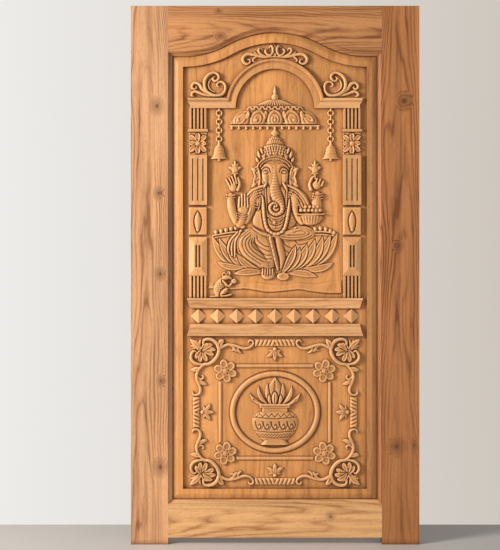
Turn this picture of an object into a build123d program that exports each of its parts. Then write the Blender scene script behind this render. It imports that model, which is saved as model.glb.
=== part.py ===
from build123d import *
import os
from math import atan2, cos, hypot, pi, radians, sin, sqrt

# Carved teak door leaf. X runs across the leaf, Z up it, and the carved front faces -Y.
# The origin is at the middle of the leaf's bottom edge, halfway through its thickness.

# Frame widths, from the leaf's edge inwards
STILE_W = 148.0
STICKING_W = 16.0
BEVEL_W = 22.5
BORDER_W = 19.5
PILASTER_MARGIN = 22.5
PILASTER_W = 73.0
NICHE_W = 540.0

# Heights, stacked from the horns at the bottom to the top edge
HORN_DROP = 27.0
BOTTOM_RAIL_H = 133.0
LOWER_FIELD_H = 607.5
LOWER_COURSE_H = 48.0
DIAMOND_BAND_H = 61.5
UPPER_COURSE_H = 41.0
FOOT_H = 243.0
LENS_BLOCK_H = 110.0
FLUTED_BLOCK_H = 199.0
FLOWER_BLOCK_H = 92.0
REEDS_H = 94.0
BLOCK_GAP = 8.5
ARCH_R = 196.0
CREST_ROOM = 63.0
TOP_RAIL_CROWN = 86.0

# The arched edge of the top rail: one arc over the axis, a reverse arc each side
CROWN_R = 404.0
REVERSE_R = 337.0
ARCH_RISE = 95.0

# Depths
LEAF_T = 45.0
GROUND_DEPTH = 21.0
BACK_RECESS = 6.5
BORDER_RISE = 11.0
BEVEL_FOOT_RISE = 4.0
QUIRK_DEPTH = 2.0
QUIRK_W = 3.0
COVE_DEPTH = 12.0
COVE_KNEE_W = 7.0
COVE_KNEE_DEPTH = 8.5
COVE_W = 13.5

# Joinery
GROOVE_DEPTH = 12.0
GROOVE_W = 10.0
GROOVE_BACK = 13.5
TONGUE_GAP = 2.0
FIT = 0.2
TENON_L = 90.0
TENON_T = 14.0
TENON_SHOULDER = 22.0
TENON_END_GAP = 0.8

# Places that follow from the sizes above
SURROUND_W = STICKING_W + BEVEL_W + BORDER_W
PILASTER_OUT = NICHE_W / 2 + PILASTER_W
GROUND_HALF_W = PILASTER_OUT + PILASTER_MARGIN
OPENING_HALF_W = GROUND_HALF_W + SURROUND_W
LEAF_W = 2 * (OPENING_HALF_W + STILE_W)
SILL_Z = HORN_DROP + BOTTOM_RAIL_H
FIELD_Z = SILL_Z + SURROUND_W
LOWER_COURSE_Z = FIELD_Z + LOWER_FIELD_H
DIAMOND_Z = LOWER_COURSE_Z + LOWER_COURSE_H
UPPER_COURSE_Z = DIAMOND_Z + DIAMOND_BAND_H
NICHE_Z = UPPER_COURSE_Z + UPPER_COURSE_H
LENS_Z = NICHE_Z + FOOT_H + BLOCK_GAP
FLUTED_Z = LENS_Z + LENS_BLOCK_H + BLOCK_GAP
FLOWER_Z = FLUTED_Z + FLUTED_BLOCK_H
REEDS_Z = FLOWER_Z + FLOWER_BLOCK_H
SPRING_Z = REEDS_Z + REEDS_H
CREST_Z = SPRING_Z + ARCH_R
CROWN_Z = CREST_Z + CREST_ROOM + SURROUND_W
LEAF_H = CROWN_Z + TOP_RAIL_CROWN
SHOULDER_Z = CROWN_Z - ARCH_RISE
FRONT_Y = -LEAF_T / 2
GROUND_Y = FRONT_Y + GROUND_DEPTH
GROUND_FACE = Plane(origin=(0, GROUND_Y, 0), x_dir=(1, 0, 0), z_dir=(0, -1, 0))

# Relief sections: across the form from -1 to 1, and how much of its height stands there
PITCHED = ((-1, 0), (0, 1), (1, 0))
CREASED = ((-1, 0), (-1, 0.55), (0, 1), (1, 0.55), (1, 0))
ROUNDED = ((-1, 0), (-0.8, 0.62), (0, 1), (0.8, 0.62), (1, 0))
SCOOPED = ((-1, 0), (-0.85, 0.9), (0, 0.5), (0.85, 0.9), (1, 0))
BLUNT = ((-1, 0), (-0.6, 1), (0.6, 1), (1, 0))
SWELLED = ((-1, 0), (-0.94, 0.34), (-0.66, 0.76), (0, 1), (0.66, 0.76), (0.94, 0.34), (1, 0))


# Carver's forms, drawn flat (x across, y up the leaf, z out of the ground)

def polyhedron(faces):
    return Solid(Shell([Face(Wire.make_polygon(points)) for points in faces]))


def distinct(points):
    """The points of a facet without those that fall on one another."""
    kept = []
    for p in points:
        if all(hypot(p[0] - q[0], p[1] - q[1], p[2] - q[2]) > 1e-4 for q in kept):
            kept.append(p)
    return kept


def facets(rows):
    """Triangles between neighbouring rows of points that run the same way."""
    out = []
    for row, following in zip(rows, rows[1:]):
        for i in range(len(row) - 1):
            out.append(distinct((row[i], following[i], following[i + 1])))
            out.append(distinct((row[i], following[i + 1], row[i + 1])))
    return [f for f in out if len(f) == 3]


def stroke(rows, section=PITCHED, base=0.0):
    """A carved stroke along rows of (x, y, half width, height), with the given section across it."""
    last = len(rows) - 1
    slices = []
    for i, (x, y, half, height) in enumerate(rows):
        before, after = rows[max(i - 1, 0)], rows[min(i + 1, last)]
        dx, dy = after[0] - before[0], after[1] - before[1]
        run = hypot(dx, dy)
        nx, ny = -dy / run, dx / run
        slices.append([(x + nx * half * u, y + ny * half * u, base + height * v) for u, v in section])
    under = [s[0] for s in slices] + [s[-1] for s in reversed(slices)]
    ends = [slices[i] for i in (0, last) if rows[i][2] > 0]
    return polyhedron(facets(slices) + [distinct(end) for end in ends] + [distinct(under)])


# A leaf's outline: how far from its foot to its tip, and the share of its half width there
LEAF_SHAPE = ((0, 0.4), (0.4, 1), (1, 0))
LONG_LEAF_SHAPE = ((0, 0.35), (0.3, 0.95), (0.62, 0.85), (1, 0))
PETAL_SHAPE = ((0, 0.4), (0.4, 1), (1, 0.06))


def leaf(foot, tip, half, height, bend=0.0, section=PITCHED, shape=LEAF_SHAPE, base=0.0):
    """A pointed leaf from its foot to its tip, bent sideways by a share of its length."""
    bx, by = foot
    tx, ty = tip
    rows = []
    for t, share in shape:
        side = bend * 4 * t * (1 - t)
        x = bx + (tx - bx) * t - (ty - by) * side
        y = by + (ty - by) * t + (tx - bx) * side
        rows.append((x, y, half * share, height * (0.75 + 0.25 * share)))
    return stroke(rows, section, base)


def boss(centre, radius_x, radius_y, rings, sides, turn=0.0):
    """A round form of rings, each a share of the radius and a height, closed at its middle."""
    cx, cy = centre
    rows = []
    for share, height in ((1, 0),) + rings:
        row = []
        for i in range(sides + 1):
            a = radians(turn) + 2 * pi * (i % sides) / sides
            row.append((cx + radius_x * share * cos(a), cy + radius_y * share * sin(a), height))
        rows.append(row)
    return polyhedron(facets(rows) + [rows[0][:-1]])


def dome(centre, radius_x, radius_y, height, sides=8):
    return boss(centre, radius_x, radius_y, ((0.72, 0.7 * height), (0, height)), sides)


def prism(points, height, base=0.0):
    flat = make_face(Polyline(*points, close=True))
    return Pos(0, 0, base) * extrude(flat, height)


def bar(x0, x1, y0, y1, height, base=0.0):
    return Pos((x0 + x1) / 2, (y0 + y1) / 2, base) * Box(
        x1 - x0, y1 - y0, height, align=(Align.CENTER, Align.CENTER, Align.MIN))


def hipped(low, high, z_low, z_high):
    """A block that narrows from its lower rectangle (x0, x1, y0, y1) to its upper one."""
    rings = []
    for (x0, x1, y0, y1), z in ((low, z_low), (high, z_high)):
        rings.append([(x0, y0, z), (x1, y0, z), (x1, y1, z), (x0, y1, z)])
    foot, head = rings
    sides = [[foot[i], foot[(i + 1) % 4], head[(i + 1) % 4], head[i]] for i in range(4)]
    return polyhedron([foot, head] + sides)


def joined(pieces):
    """All pieces of one carving as one solid."""
    pieces = list(pieces)
    return pieces[0].fuse(*pieces[1:]) if len(pieces) > 1 else pieces[0]


def on_ground(form):
    """Stand a flat-drawn form on the panel's sunk ground, facing the front."""
    return form.moved(GROUND_FACE.location)


def flipped(form):
    """The same form for the other side of the leaf."""
    return form.mirror(Plane.YZ)


def inverted(form):
    """The same form upside down, still standing on the ground."""
    return form.mirror(Plane.XZ)


# Frame and panel

def opening(inset, depth):
    """The arched outline, moved inwards by inset, at a depth behind the leaf's face."""
    half = OPENING_HALF_W - inset
    shoulder = SHOULDER_Z - inset
    reverse = REVERSE_R + inset
    crown = CROWN_R - inset
    crown_centre = CROWN_Z - CROWN_R
    swing = sqrt((CROWN_R + REVERSE_R) ** 2 - (CROWN_R + REVERSE_R - ARCH_RISE) ** 2)
    angle = atan2(swing, CROWN_R + REVERSE_R - ARCH_RISE)
    meet = (crown * sin(angle), crown_centre + crown * cos(angle))
    middle = (swing - reverse * sin(angle / 2), SHOULDER_Z + REVERSE_R - reverse * cos(angle / 2))
    foot = SILL_Z + inset
    edges = [
        Line((-half, foot), (half, foot)),
        Line((half, foot), (half, shoulder)),
        Line((half, shoulder), (swing, shoulder)),
        ThreePointArc((swing, shoulder), middle, meet),
        ThreePointArc(meet, (0, crown_centre + crown), (-meet[0], meet[1])),
        ThreePointArc((-meet[0], meet[1]), (-middle[0], middle[1]), (-swing, shoulder)),
        Line((-swing, shoulder), (-half, shoulder)),
        Line((-half, shoulder), (-half, foot)),
    ]
    plane = Plane(origin=(0, FRONT_Y + depth, 0), x_dir=(1, 0, 0), z_dir=(0, -1, 0))
    return make_face(edges).moved(plane.location)


def layer(inset_front, depth_front, inset_back, depth_back):
    """What lies within the opening between two depths."""
    return loft([opening(inset_front, depth_front), opening(inset_back, depth_back)], ruled=True)


def plate(x0, x1, z0, z1, y0, y1):
    """A straight-sided board between the given planes."""
    return Pos((x0 + x1) / 2, (y0 + y1) / 2, (z0 + z1) / 2) * Box(x1 - x0, y1 - y0, z1 - z0)


GROOVE_Y1 = LEAF_T / 2 - GROOVE_BACK
GROOVE_Y0 = GROOVE_Y1 - GROOVE_W


def through_opening():
    """Everything that the stuck moulding and the opening take out of the frame."""
    return joined([
        layer(0, 0, 0, QUIRK_DEPTH),
        layer(QUIRK_W, QUIRK_DEPTH, COVE_KNEE_W, COVE_KNEE_DEPTH),
        layer(COVE_KNEE_W, COVE_KNEE_DEPTH, COVE_W, COVE_DEPTH),
        layer(STICKING_W, COVE_DEPTH, STICKING_W, LEAF_T),
    ])


def panel_groove():
    floor = STICKING_W - GROOVE_DEPTH
    return layer(floor, GROOVE_Y0 - FRONT_Y, floor, GROOVE_Y1 - FRONT_Y)


def frame_blank():
    """The whole frame before it is divided into its four members."""
    blank = plate(-LEAF_W / 2, LEAF_W / 2, 0, LEAF_H, FRONT_Y, LEAF_T / 2)
    between_horns = plate(-OPENING_HALF_W, OPENING_HALF_W, 0, HORN_DROP, FRONT_Y, LEAF_T / 2)
    return blank - between_horns - through_opening() - panel_groove()


def stile_reach():
    """The space of the left stile, with its stuck moulding mitred to the rails'."""
    inner = -OPENING_HALF_W
    lip = inner + STICKING_W
    points = [
        (-LEAF_W / 2, 0),
        (inner, 0),
        (inner, SILL_Z),
        (lip, SILL_Z + STICKING_W),
        (lip, SHOULDER_Z - STICKING_W),
        (inner, SHOULDER_Z),
        (inner, LEAF_H),
        (-LEAF_W / 2, LEAF_H),
    ]
    back = Plane(origin=(0, LEAF_T / 2, 0), x_dir=(1, 0, 0), z_dir=(0, -1, 0))
    return extrude(make_face(Polyline(*points, close=True)).moved(back.location), LEAF_T)


def tenons(side, clearance, end_gap):
    """The rails' blind tenons at one side: side is -1 on the left and 1 on the right."""
    middle_y = (GROOVE_Y0 + GROOVE_Y1) / 2
    half_t = TENON_T / 2 + clearance
    ends = sorted((side * OPENING_HALF_W, side * (OPENING_HALF_W + TENON_L + end_gap)))
    spans = [
        (HORN_DROP + TENON_SHOULDER, SILL_Z - TENON_SHOULDER),
        (SHOULDER_Z + TENON_SHOULDER, LEAF_H - TENON_SHOULDER),
    ]
    return [plate(*ends, z0 - clearance, z1 + clearance, middle_y - half_t, middle_y + half_t)
            for z0, z1 in spans]


def frame_members():
    blank = frame_blank()
    reach = stile_reach()
    stile = (blank & reach)
    for mortise in tenons(-1, FIT, TENON_END_GAP):
        stile = stile - mortise
    rails = blank - reach - flipped(reach)
    above = plate(-LEAF_W, LEAF_W, LEAF_H / 2, LEAF_H, -LEAF_T, LEAF_T)
    bottom_tenons = [tenons(side, 0, 0)[0] for side in (-1, 1)]
    top_tenons = [tenons(side, 0, 0)[1] for side in (-1, 1)]
    top_rail = joined([rails & above] + top_tenons)
    bottom_rail = joined([rails - above] + bottom_tenons)
    return {"left_stile": stile, "right_stile": flipped(stile),
            "top_rail": top_rail, "bottom_rail": bottom_rail}


# Low mouldings cut from the panel itself

ROPE_W = 30.0
ROPE_INSET = 28.0
BUD_R = 9.0
BUD_GAP = 1.0
BUD_LENGTH = 48.0
BUD_TO_LINE = 18.75
LINE_X = 218.0
LINE_W = 12.0
LINE_RISE = 3.5
LINE_REACH_Z = LOWER_FIELD_H / 2 - ROPE_INSET - ROPE_W / 2 - BUD_GAP - BUD_R - BUD_LENGTH - BUD_TO_LINE
RING_TO_LINE = 15.5
RING_HALF_W = 179.0
RING_HALF_H = LINE_REACH_Z - LINE_W / 2 - RING_TO_LINE
RING_BAND = 20.0
RING_RISE = 7.0
LINE_PAST_ROSETTE = 20.0
ROSETTE_X = 197.0
ROSETTE_REACH_Z = LINE_REACH_Z - LINE_PAST_ROSETTE
ROSETTE_R = 48.0
FIELD_MIDDLE_Z = FIELD_Z + LOWER_FIELD_H / 2
WAVE_RISE = 4.0
WAVE_BREAK = (-246.0, -146.0)


def oval_ring():
    """An oval moulding round the pot, with a flat crest and sloping sides."""
    slope = RING_BAND / 3
    outside = loft([Ellipse(RING_HALF_W, RING_HALF_H).face(),
                    Pos(0, 0, RING_RISE) * Ellipse(RING_HALF_W - slope, RING_HALF_H - slope).face()])
    hollow_w = RING_HALF_W - RING_BAND
    hollow_h = RING_HALF_H - RING_BAND
    inside = loft([Ellipse(hollow_w, hollow_h).face(),
                   Pos(0, 0, RING_RISE) * Ellipse(hollow_w + slope, hollow_h + slope).face()])
    return Pos(0, FIELD_MIDDLE_Z, 0) * (outside - inside)


def inner_lines():
    """The thin raised lines that run from rosette to rosette."""
    across = ROSETTE_X - ROSETTE_R
    up = ROSETTE_REACH_Z - ROSETTE_R
    half = LINE_W / 2
    lines = []
    for side in (-1, 1):
        x = side * LINE_X
        y = FIELD_MIDDLE_Z + side * LINE_REACH_Z
        lines.append(stroke([(x, FIELD_MIDDLE_Z - up, half, LINE_RISE),
                             (x, FIELD_MIDDLE_Z + up, half, LINE_RISE)], CREASED))
        lines.append(stroke([(-across, y, half, LINE_RISE), (across, y, half, LINE_RISE)], CREASED))
    return lines


def wavy_ground():
    """The rolling ground line behind the figure: a low step that fades out upwards."""
    step = ((1, 0), (-1, 1), (-1, 0))
    half = 14.0
    right = NICHE_W / 2 - 6
    main = [(WAVE_BREAK[1], 34), (-125, 39), (-75, 32), (-30, 25), (35, 29), (95, 35), (150, 27), (210, 20),
            (right, 20)]
    stub = [(-right, 38), (WAVE_BREAK[0], 38)]
    return [Pos(0, NICHE_Z, 0) * stroke([(x, y + half, half, WAVE_RISE) for x, y in run], step)
            for run in (main, stub)]


def carved_panel():
    """The glued-up panel: tongue, bevel, flat border and sunk ground, with its low mouldings."""
    back_depth = LEAF_T - BACK_RECESS
    foot_depth = GROUND_DEPTH - BEVEL_FOOT_RISE
    border_depth = GROUND_DEPTH - BORDER_RISE
    edge = STICKING_W + FIT
    tongue_edge = STICKING_W - GROOVE_DEPTH + TONGUE_GAP
    body = joined([
        layer(edge, foot_depth, edge, back_depth),
        layer(STICKING_W + BEVEL_W, border_depth, edge, foot_depth),
        layer(tongue_edge, GROOVE_Y0 - FRONT_Y + FIT, tongue_edge, GROOVE_Y1 - FRONT_Y - FIT),
    ])
    body = body - layer(SURROUND_W, 0, SURROUND_W, GROUND_DEPTH)
    relief = [on_ground(form) for form in [oval_ring()] + inner_lines() + wavy_ground()]
    return joined([body] + relief)


# Arch, cornices and string courses

ARCH_BAND = 39.5
ARCH_PROFILE = ((0, 0), (0, 15), (9, 15), (13, 8.5), (ARCH_BAND, 11), (ARCH_BAND, 0))
CORNICE_OVERHANG = 4.0
CORNICE_RETURN = 9.0
COURSE_OVERHANG = 6.0
COURSE_RETURN = 12.0
COURSE_FILLET = 9.0
COURSE_RISE = 16.0
COURSE_NECK = 9.0
DIAMOND_COUNT = 9
DIAMOND_PITCH = 76.0
DIAMOND_W = 65.0
DIAMOND_H = 57.0
DIAMOND_RISE = 11.0


def arch_moulding():
    """The half-round moulding over the niche, mitred to the cornices at both feet."""
    section = make_face(Polyline(*[(ARCH_R - across, rise) for across, rise in ARCH_PROFILE], close=True))
    turned = Plane(origin=(0, 0, 0), x_dir=(1, 0, 0), z_dir=(0, -1, 0)).location
    ring = revolve(section.moved(turned), Axis.Z, 180)
    inner = ARCH_R - ARCH_BAND
    below_mitre = prism([(-ARCH_R - 1, -1), (-inner, -1), (-inner, 0), (-ARCH_R - 1, ARCH_BAND + 1)], 40)
    return Pos(0, SPRING_Z, 0) * (ring - below_mitre - flipped(below_mitre))


def cornice():
    """The left cornice: the arch's section run level out to the pilaster, with a coved end."""
    outer = -PILASTER_OUT - CORNICE_OVERHANG
    inner = -(ARCH_R - ARCH_BAND)
    section = make_face(Polyline(*[(ARCH_BAND - across, rise) for across, rise in ARCH_PROFILE], close=True))
    upright = Plane(origin=(outer, 0, 0), x_dir=(0, 1, 0), z_dir=(1, 0, 0)).location
    run = extrude(section.moved(upright), inner - outer)
    mitred = prism([(inner + 1, -1), (inner + 1, ARCH_BAND + 40), (-ARCH_R - 40, ARCH_BAND + 40),
                    (-ARCH_R, ARCH_BAND), (inner, 0), (inner, -1)], 40)
    end = prism([(outer - 1, -1), (outer + CORNICE_RETURN, -1), (outer + CORNICE_RETURN, ARCH_BAND / 3),
                 (outer, ARCH_BAND * 0.7), (outer - 1, ARCH_BAND * 0.7)], 40)
    return Pos(0, SPRING_Z, 0) * (run - mitred - end)


def string_course(height):
    """A level course, widest at the fillet on its top edge, drawn from y = 0 upwards."""
    wide = PILASTER_OUT + COURSE_OVERHANG
    narrow = wide - COURSE_RETURN
    fillet = bar(-wide, wide, height - COURSE_FILLET, height, COURSE_RISE)
    ends = [(-narrow, 0), (narrow, 0), (wide - 2, height - COURSE_FILLET), (2 - wide, height - COURSE_FILLET)]
    body = prism(ends, COURSE_RISE)
    slope = prism([(0, COURSE_NECK), (0, COURSE_RISE + 1), (height - COURSE_FILLET, COURSE_RISE + 1),
                   (height - COURSE_FILLET, COURSE_RISE - 2)], 2 * wide + 2)
    across = Plane(origin=(-wide - 1, 0, 0), x_dir=(0, 1, 0), z_dir=(1, 0, 0)).location
    return joined([body - slope.moved(across), fillet])


def upper_string_course():
    return Pos(0, UPPER_COURSE_Z, 0) * string_course(UPPER_COURSE_H)


def lower_string_course():
    return Pos(0, DIAMOND_Z, 0) * inverted(string_course(LOWER_COURSE_H))


def diamond_studs():
    """A row of diamonds, each folded along its upright diagonal."""
    half_w = DIAMOND_W / 2
    half_h = DIAMOND_H / 2
    studs = []
    for i in range(DIAMOND_COUNT):
        x = (i - (DIAMOND_COUNT - 1) / 2) * DIAMOND_PITCH
        y = DIAMOND_Z + DIAMOND_BAND_H / 2
        left, right = (x - half_w, y, 0), (x + half_w, y, 0)
        foot, head = (x, y - half_h, 0), (x, y + half_h, 0)
        ridge_foot, ridge_head = (x, y - half_h, DIAMOND_RISE), (x, y + half_h, DIAMOND_RISE)
        studs.append(polyhedron([
            [left, foot, right, head],
            [left, ridge_foot, ridge_head],
            [right, ridge_head, ridge_foot],
            [left, foot, ridge_foot],
            [foot, right, ridge_foot],
            [right, head, ridge_head],
            [head, left, ridge_head],
        ]))
    return Compound(studs)


# Pilasters: the left one, drawn from its middle line, with y = 0 at each block's foot

BLOCK_RISE = 12.0
REED_COUNT = 5
REED_GAP = 3.0
REED_RISE = 9.0
REED_FOOT_H = 88.0
BAR_H = 11.0
BAR_OVERHANG = 3.0
FLUTE_W = 6.0
FLUTE_DEPTH = 5.0
FLUTE_PITCH = 20.5
FLUTE_TOP = 15.0
FLUTE_BOTTOM = 17.0
FOOT_RISE = 14.0
FOOT_EDGE_RISE = 7.0
FOOT_HEAD = 24.0
FOOT_FLARE = 26.0
FOOT_FACE_W = 33.0
SLOT_W = 20.0
SLOT_H = 87.0
SLOT_BAR_W = 6.0
SLOT_DEPTH = 6.0
LENS_W = 30.0
LENS_H = 74.0
LENS_RISE = 5.0
FLOWER_BED_RISE = 5.0
PILASTER_X = -(NICHE_W + PILASTER_W) / 2


def reeds(height):
    """Upright reeds with chamfered sides, side by side across the pilaster."""
    pitch = PILASTER_W / REED_COUNT
    half = (pitch - REED_GAP) / 2
    out = []
    for i in range(REED_COUNT):
        x = (i - (REED_COUNT - 1) / 2) * pitch
        out.append(stroke([(x, 0, half, REED_RISE), (x, height, half, REED_RISE)], BLUNT))
    return out


def pilaster_foot():
    """The lowest block: reeds, then a hipped block with a slot and a bar inside it."""
    half = PILASTER_W / 2
    face = FOOT_FACE_W / 2
    low = (-half, half, REED_FOOT_H, FOOT_H)
    high = (-face, face, REED_FOOT_H + FOOT_FLARE, FOOT_H - FOOT_HEAD)
    block = bar(*low, FOOT_EDGE_RISE).fuse(hipped(low, high, FOOT_EDGE_RISE, FOOT_RISE))
    slot_y = (high[2] + high[3]) / 2
    deep = FOOT_RISE - SLOT_DEPTH
    slot = bar(-SLOT_W / 2, SLOT_W / 2, slot_y - SLOT_H / 2, slot_y + SLOT_H / 2, SLOT_DEPTH, deep)
    tongue = bar(-SLOT_BAR_W / 2, SLOT_BAR_W / 2, slot_y - SLOT_H / 2, slot_y + SLOT_H / 2, SLOT_DEPTH, deep)
    return joined([block - (slot - tongue)] + reeds(REED_FOOT_H))


def lens_block():
    """A plain block with an upright lens standing on it."""
    half = PILASTER_W / 2
    block = bar(-half, half, 0, LENS_BLOCK_H, BLOCK_RISE)
    middle = LENS_BLOCK_H / 2
    rows = [(0, middle + LENS_H / 2 * t, LENS_W / 2 * (1 - t * t), LENS_RISE * (1 - t * t))
            for t in (-1, -0.55, 0, 0.55, 1)]
    return joined([block, stroke(rows, base=BLOCK_RISE)])


def fluted_block():
    half = PILASTER_W / 2
    block = bar(-half, half, 0, FLUTED_BLOCK_H, BLOCK_RISE)
    for i in (-1, 0, 1):
        x = i * FLUTE_PITCH
        groove = make_face(Polyline(
            (x - FLUTE_W / 2, BLOCK_RISE + 1),
            (x - FLUTE_W / 2, BLOCK_RISE),
            (x, BLOCK_RISE - FLUTE_DEPTH),
            (x + FLUTE_W / 2, BLOCK_RISE),
            (x + FLUTE_W / 2, BLOCK_RISE + 1),
            close=True))
        up = Plane(origin=(0, FLUTED_BLOCK_H - FLUTE_TOP, 0), x_dir=(1, 0, 0), z_dir=(0, -1, 0)).location
        block = block - extrude(groove.moved(up), FLUTED_BLOCK_H - FLUTE_TOP - FLUTE_BOTTOM)
    return block


def flower_block():
    """A square of eight folded petals round a button."""
    half_w = PILASTER_W / 2 - 1
    half_h = FLOWER_BLOCK_H / 2 - 1
    middle = FLOWER_BLOCK_H / 2
    pieces = [bar(-half_w, half_w, 1, FLOWER_BLOCK_H - 1, FLOWER_BED_RISE)]
    for dx, dy in ((1, 0), (1, 1), (0, 1), (-1, 1), (-1, 0), (-1, -1), (0, -1), (1, -1)):
        slant = abs(dx) + abs(dy) == 2
        width = 9.5 if slant else 11
        rows = [(dx * 6, middle + dy * 8, 4, 5),
                (dx * half_w * 0.66, middle + dy * half_h * 0.66, width, 7.5),
                (dx * half_w * 0.97, middle + dy * half_h * 0.97, 0, 3)]
        pieces.append(stroke(rows, base=FLOWER_BED_RISE))
    pieces.append(dome((0, middle), 12, 12, 14, 5))
    return joined(pieces)


def upper_reeds():
    """The reeds under the cornice, standing on a bar."""
    half = PILASTER_W / 2 + BAR_OVERHANG
    foot = bar(-half, half, 0, BAR_H, BLOCK_RISE)
    standing = [Pos(0, BAR_H, 0) * reed for reed in reeds(REEDS_H - BAR_H)]
    return joined([foot] + standing)


def pilaster():
    """The left pilaster's blocks by name, from the foot up."""
    blocks = {
        "pilaster_foot": (pilaster_foot(), NICHE_Z),
        "lens_block": (lens_block(), LENS_Z),
        "fluted_block": (fluted_block(), FLUTED_Z),
        "flower_block": (flower_block(), FLOWER_Z),
        "upper_reeds": (upper_reeds(), REEDS_Z),
    }
    return {name: Pos(PILASTER_X, z, 0) * block for name, (block, z) in blocks.items()}


# Scrolls: rows of (x, y, half width, height) along each stroke

CREST_STROKES = (
    ((22, 45, 2.5, 9), (11, 49, 4, 13), (9, 30, 5, 14), (22, 15, 5, 14), (38, 27, 4, 11), (31, 40, 2.5, 9)),
    ((36, 11, 4, 9), (60, 19, 5, 12), (62, 41, 4, 11), (52, 37, 2.5, 8)),
    ((52, 12, 4, 8), (72, 19, 4.5, 9), (86, 32, 0, 6)),
    ((4, 9, 4, 8), (36, 8, 5, 9), (72, 12, 6, 11), (106, 19, 6.5, 14), (125, 8, 6, 14), (125, -10, 6, 14),
     (108, -20, 5, 11), (101, -5, 2.5, 8)),
    ((76, 10, 4, 8), (88, 0, 4, 9), (84, -12, 2.5, 7)),
)
SPANDREL_STROKES = (
    ((-239, 86, 2, 8), (-247, 79, 4, 10), (-240, 69, 4.5, 12), (-227, 74, 5, 13), (-225, 92, 5, 14),
     (-243, 102, 5.5, 14), (-265, 93, 6, 15), (-280, 68, 7, 15), (-279, 40, 7, 15), (-268, 24, 7, 15),
     (-250, 14, 7, 15)),
    ((-264, 20, 6, 14), (-250, 13.5, 7, 15), (-229, 10, 6.5, 15), (-207, 19, 6, 14), (-197, 41, 5, 13),
     (-205, 62, 5, 12), (-224, 65, 4.5, 11), (-231, 53, 3.5, 10), (-222, 46, 2, 8)),
    ((-250, 80, 2, 6), (-263, 66, 3, 8), (-263, 44, 3.5, 8), (-250, 29, 3, 7), (-238, 25, 2, 6)),
    ((-262, 14, 4, 9), (-279, 26, 6, 12), (-296, 50, 7, 14), (-313, 61, 6.5, 14), (-328, 55, 5.5, 13),
     (-327, 40, 5, 12), (-314, 38, 4, 10), (-316, 49, 2, 8)),
    ((-258, 9, 3, 8), (-292, 19, 5.5, 12), (-318, 27, 6, 12), (-331, 17, 5.5, 12), (-325, 8, 3.5, 9)),
)
CREST_BUD = (((0, 6), (0, 31), 6, 10), ((0, 24), (0, 60), 4.5, 9))


def crest_scroll():
    """The scrolls and the bud on top of the arch."""
    right = [stroke(rows) for rows in CREST_STROKES]
    middle = [leaf(*row) for row in CREST_BUD]
    return Pos(0, CREST_Z, 0) * joined(right + [flipped(form) for form in right] + middle)


def spandrel_scroll():
    """The left spandrel's big C-scroll with its two leaf scrolls, standing on the cornice."""
    return Pos(0, SPRING_Z + ARCH_BAND, 0) * joined([stroke(rows) for rows in SPANDREL_STROKES])


# Corner scrolls: drawn from the field's corner, x inwards and y away from it

CORNER_STROKES = (
    ((99, 36, 2.5, 8), (85, 36, 4.5, 11), (84, 18, 5.5, 13), (105, 11, 6, 14), (133, 26, 7, 14),
     (143, 58, 7, 14), (129, 93, 7, 14), (103, 110, 6.5, 13), (74, 121, 5, 11)),
    ((55, 75, 3, 8), (47, 60, 4, 11), (34, 70, 5, 12), (33, 92, 6, 13), (48, 108, 6, 13), (78, 114, 5, 11)),
    ((38, 53, 0, 7), (56, 52, 4, 9), (82, 34, 4, 10)),
    ((141, 56, 5, 12), (164, 39, 6, 12), (188, 35, 5.5, 11), (240, 49, 6, 11), (266, 46, 5, 11),
     (278, 32, 4.5, 11), (270, 18, 4, 10), (260, 24, 3, 9)),
    ((184, 37, 4, 9), (200, 47, 4, 9), (190, 57, 2, 7)),
    ((76, 119, 5, 11), (58, 142, 6, 12), (54, 170, 6, 12), (68, 206, 6, 12), (66, 228, 5.5, 11),
     (48, 236, 4.5, 10), (38, 222, 3, 9)),
    ((58, 163, 4, 9), (74, 173, 4.5, 9), (78, 159, 2, 7)),
)
CORNER_LEAVES = (
    ((68, 47), (28, 14), 10, 11, 0.0),
    ((143, 56), (163, 13), 12, 12, -0.12),
    ((60, 176), (99, 192), 9, 10, 0.1),
    ((90, 112), (104, 52), 12, 10, 0.05),
)
CORNER_LOBES = ((106, 55, 17, 12),)
CORNER_REACH_X = 282.5
CORNER_REACH_Z = 240.0


def corner_scroll():
    """A vine that turns through the field's corner, round a roundel with a palmette."""
    forms = [stroke(rows) for rows in CORNER_STROKES]
    forms += [leaf(*row) for row in CORNER_LEAVES]
    forms += [dome((x, y), radius, radius, height, 5) for x, y, radius, height in CORNER_LOBES]
    return Pos(-GROUND_HALF_W, FIELD_Z, 0) * joined(forms)


# Rope strips between the corner scrolls, with the strands leaning away from the middle

ROPE_RISE = 9.0
ROPE_VALLEY_RISE = 4.0
ROPE_GAP = 3.0
ROPE_STRANDS = 5
SIDE_ROPE_INSET = 52.0
SIDE_ROPE_STRANDS = 4


def rope(reach, strands):
    """A twisted strip from -reach to reach along x, as ridges and valleys that lean outwards."""
    half = ROPE_W / 2
    lean = reach / strands / 2
    last = 2 * strands
    rows = []
    for i in range(-last, last + 1):
        x = reach * i / last
        rise = ROPE_RISE if i % 2 else ROPE_VALLEY_RISE
        slant = 0 if i in (-last, 0, last) else lean * (1 if i > 0 else -1)
        rows.append([(x + slant * u, half * u, rise * v) for u, v in BLUNT])
    edge = [row[0] for row in rows] + [row[-1] for row in reversed(rows)]
    return polyhedron(facets(rows) + [rows[0], rows[-1]] + [edge])


# Buds beside the ropes: a ball and three leaves, drawn pointing down from the ball

BUD_RISE = 12.0
BUD_LEAVES = (
    ((0, -6), (0, -BUD_LENGTH), 10, 11, 0.0),
    ((-3, -6), (-34, -31), 9, 10, 0.1),
    ((3, -6), (34, -31), 9, 10, -0.1),
)


def bud():
    forms = [leaf(*row) for row in BUD_LEAVES]
    return joined([dome((0, 0), BUD_R, BUD_R, BUD_RISE, 5)] + forms)


# Rosettes at the corners of the inner lines

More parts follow.
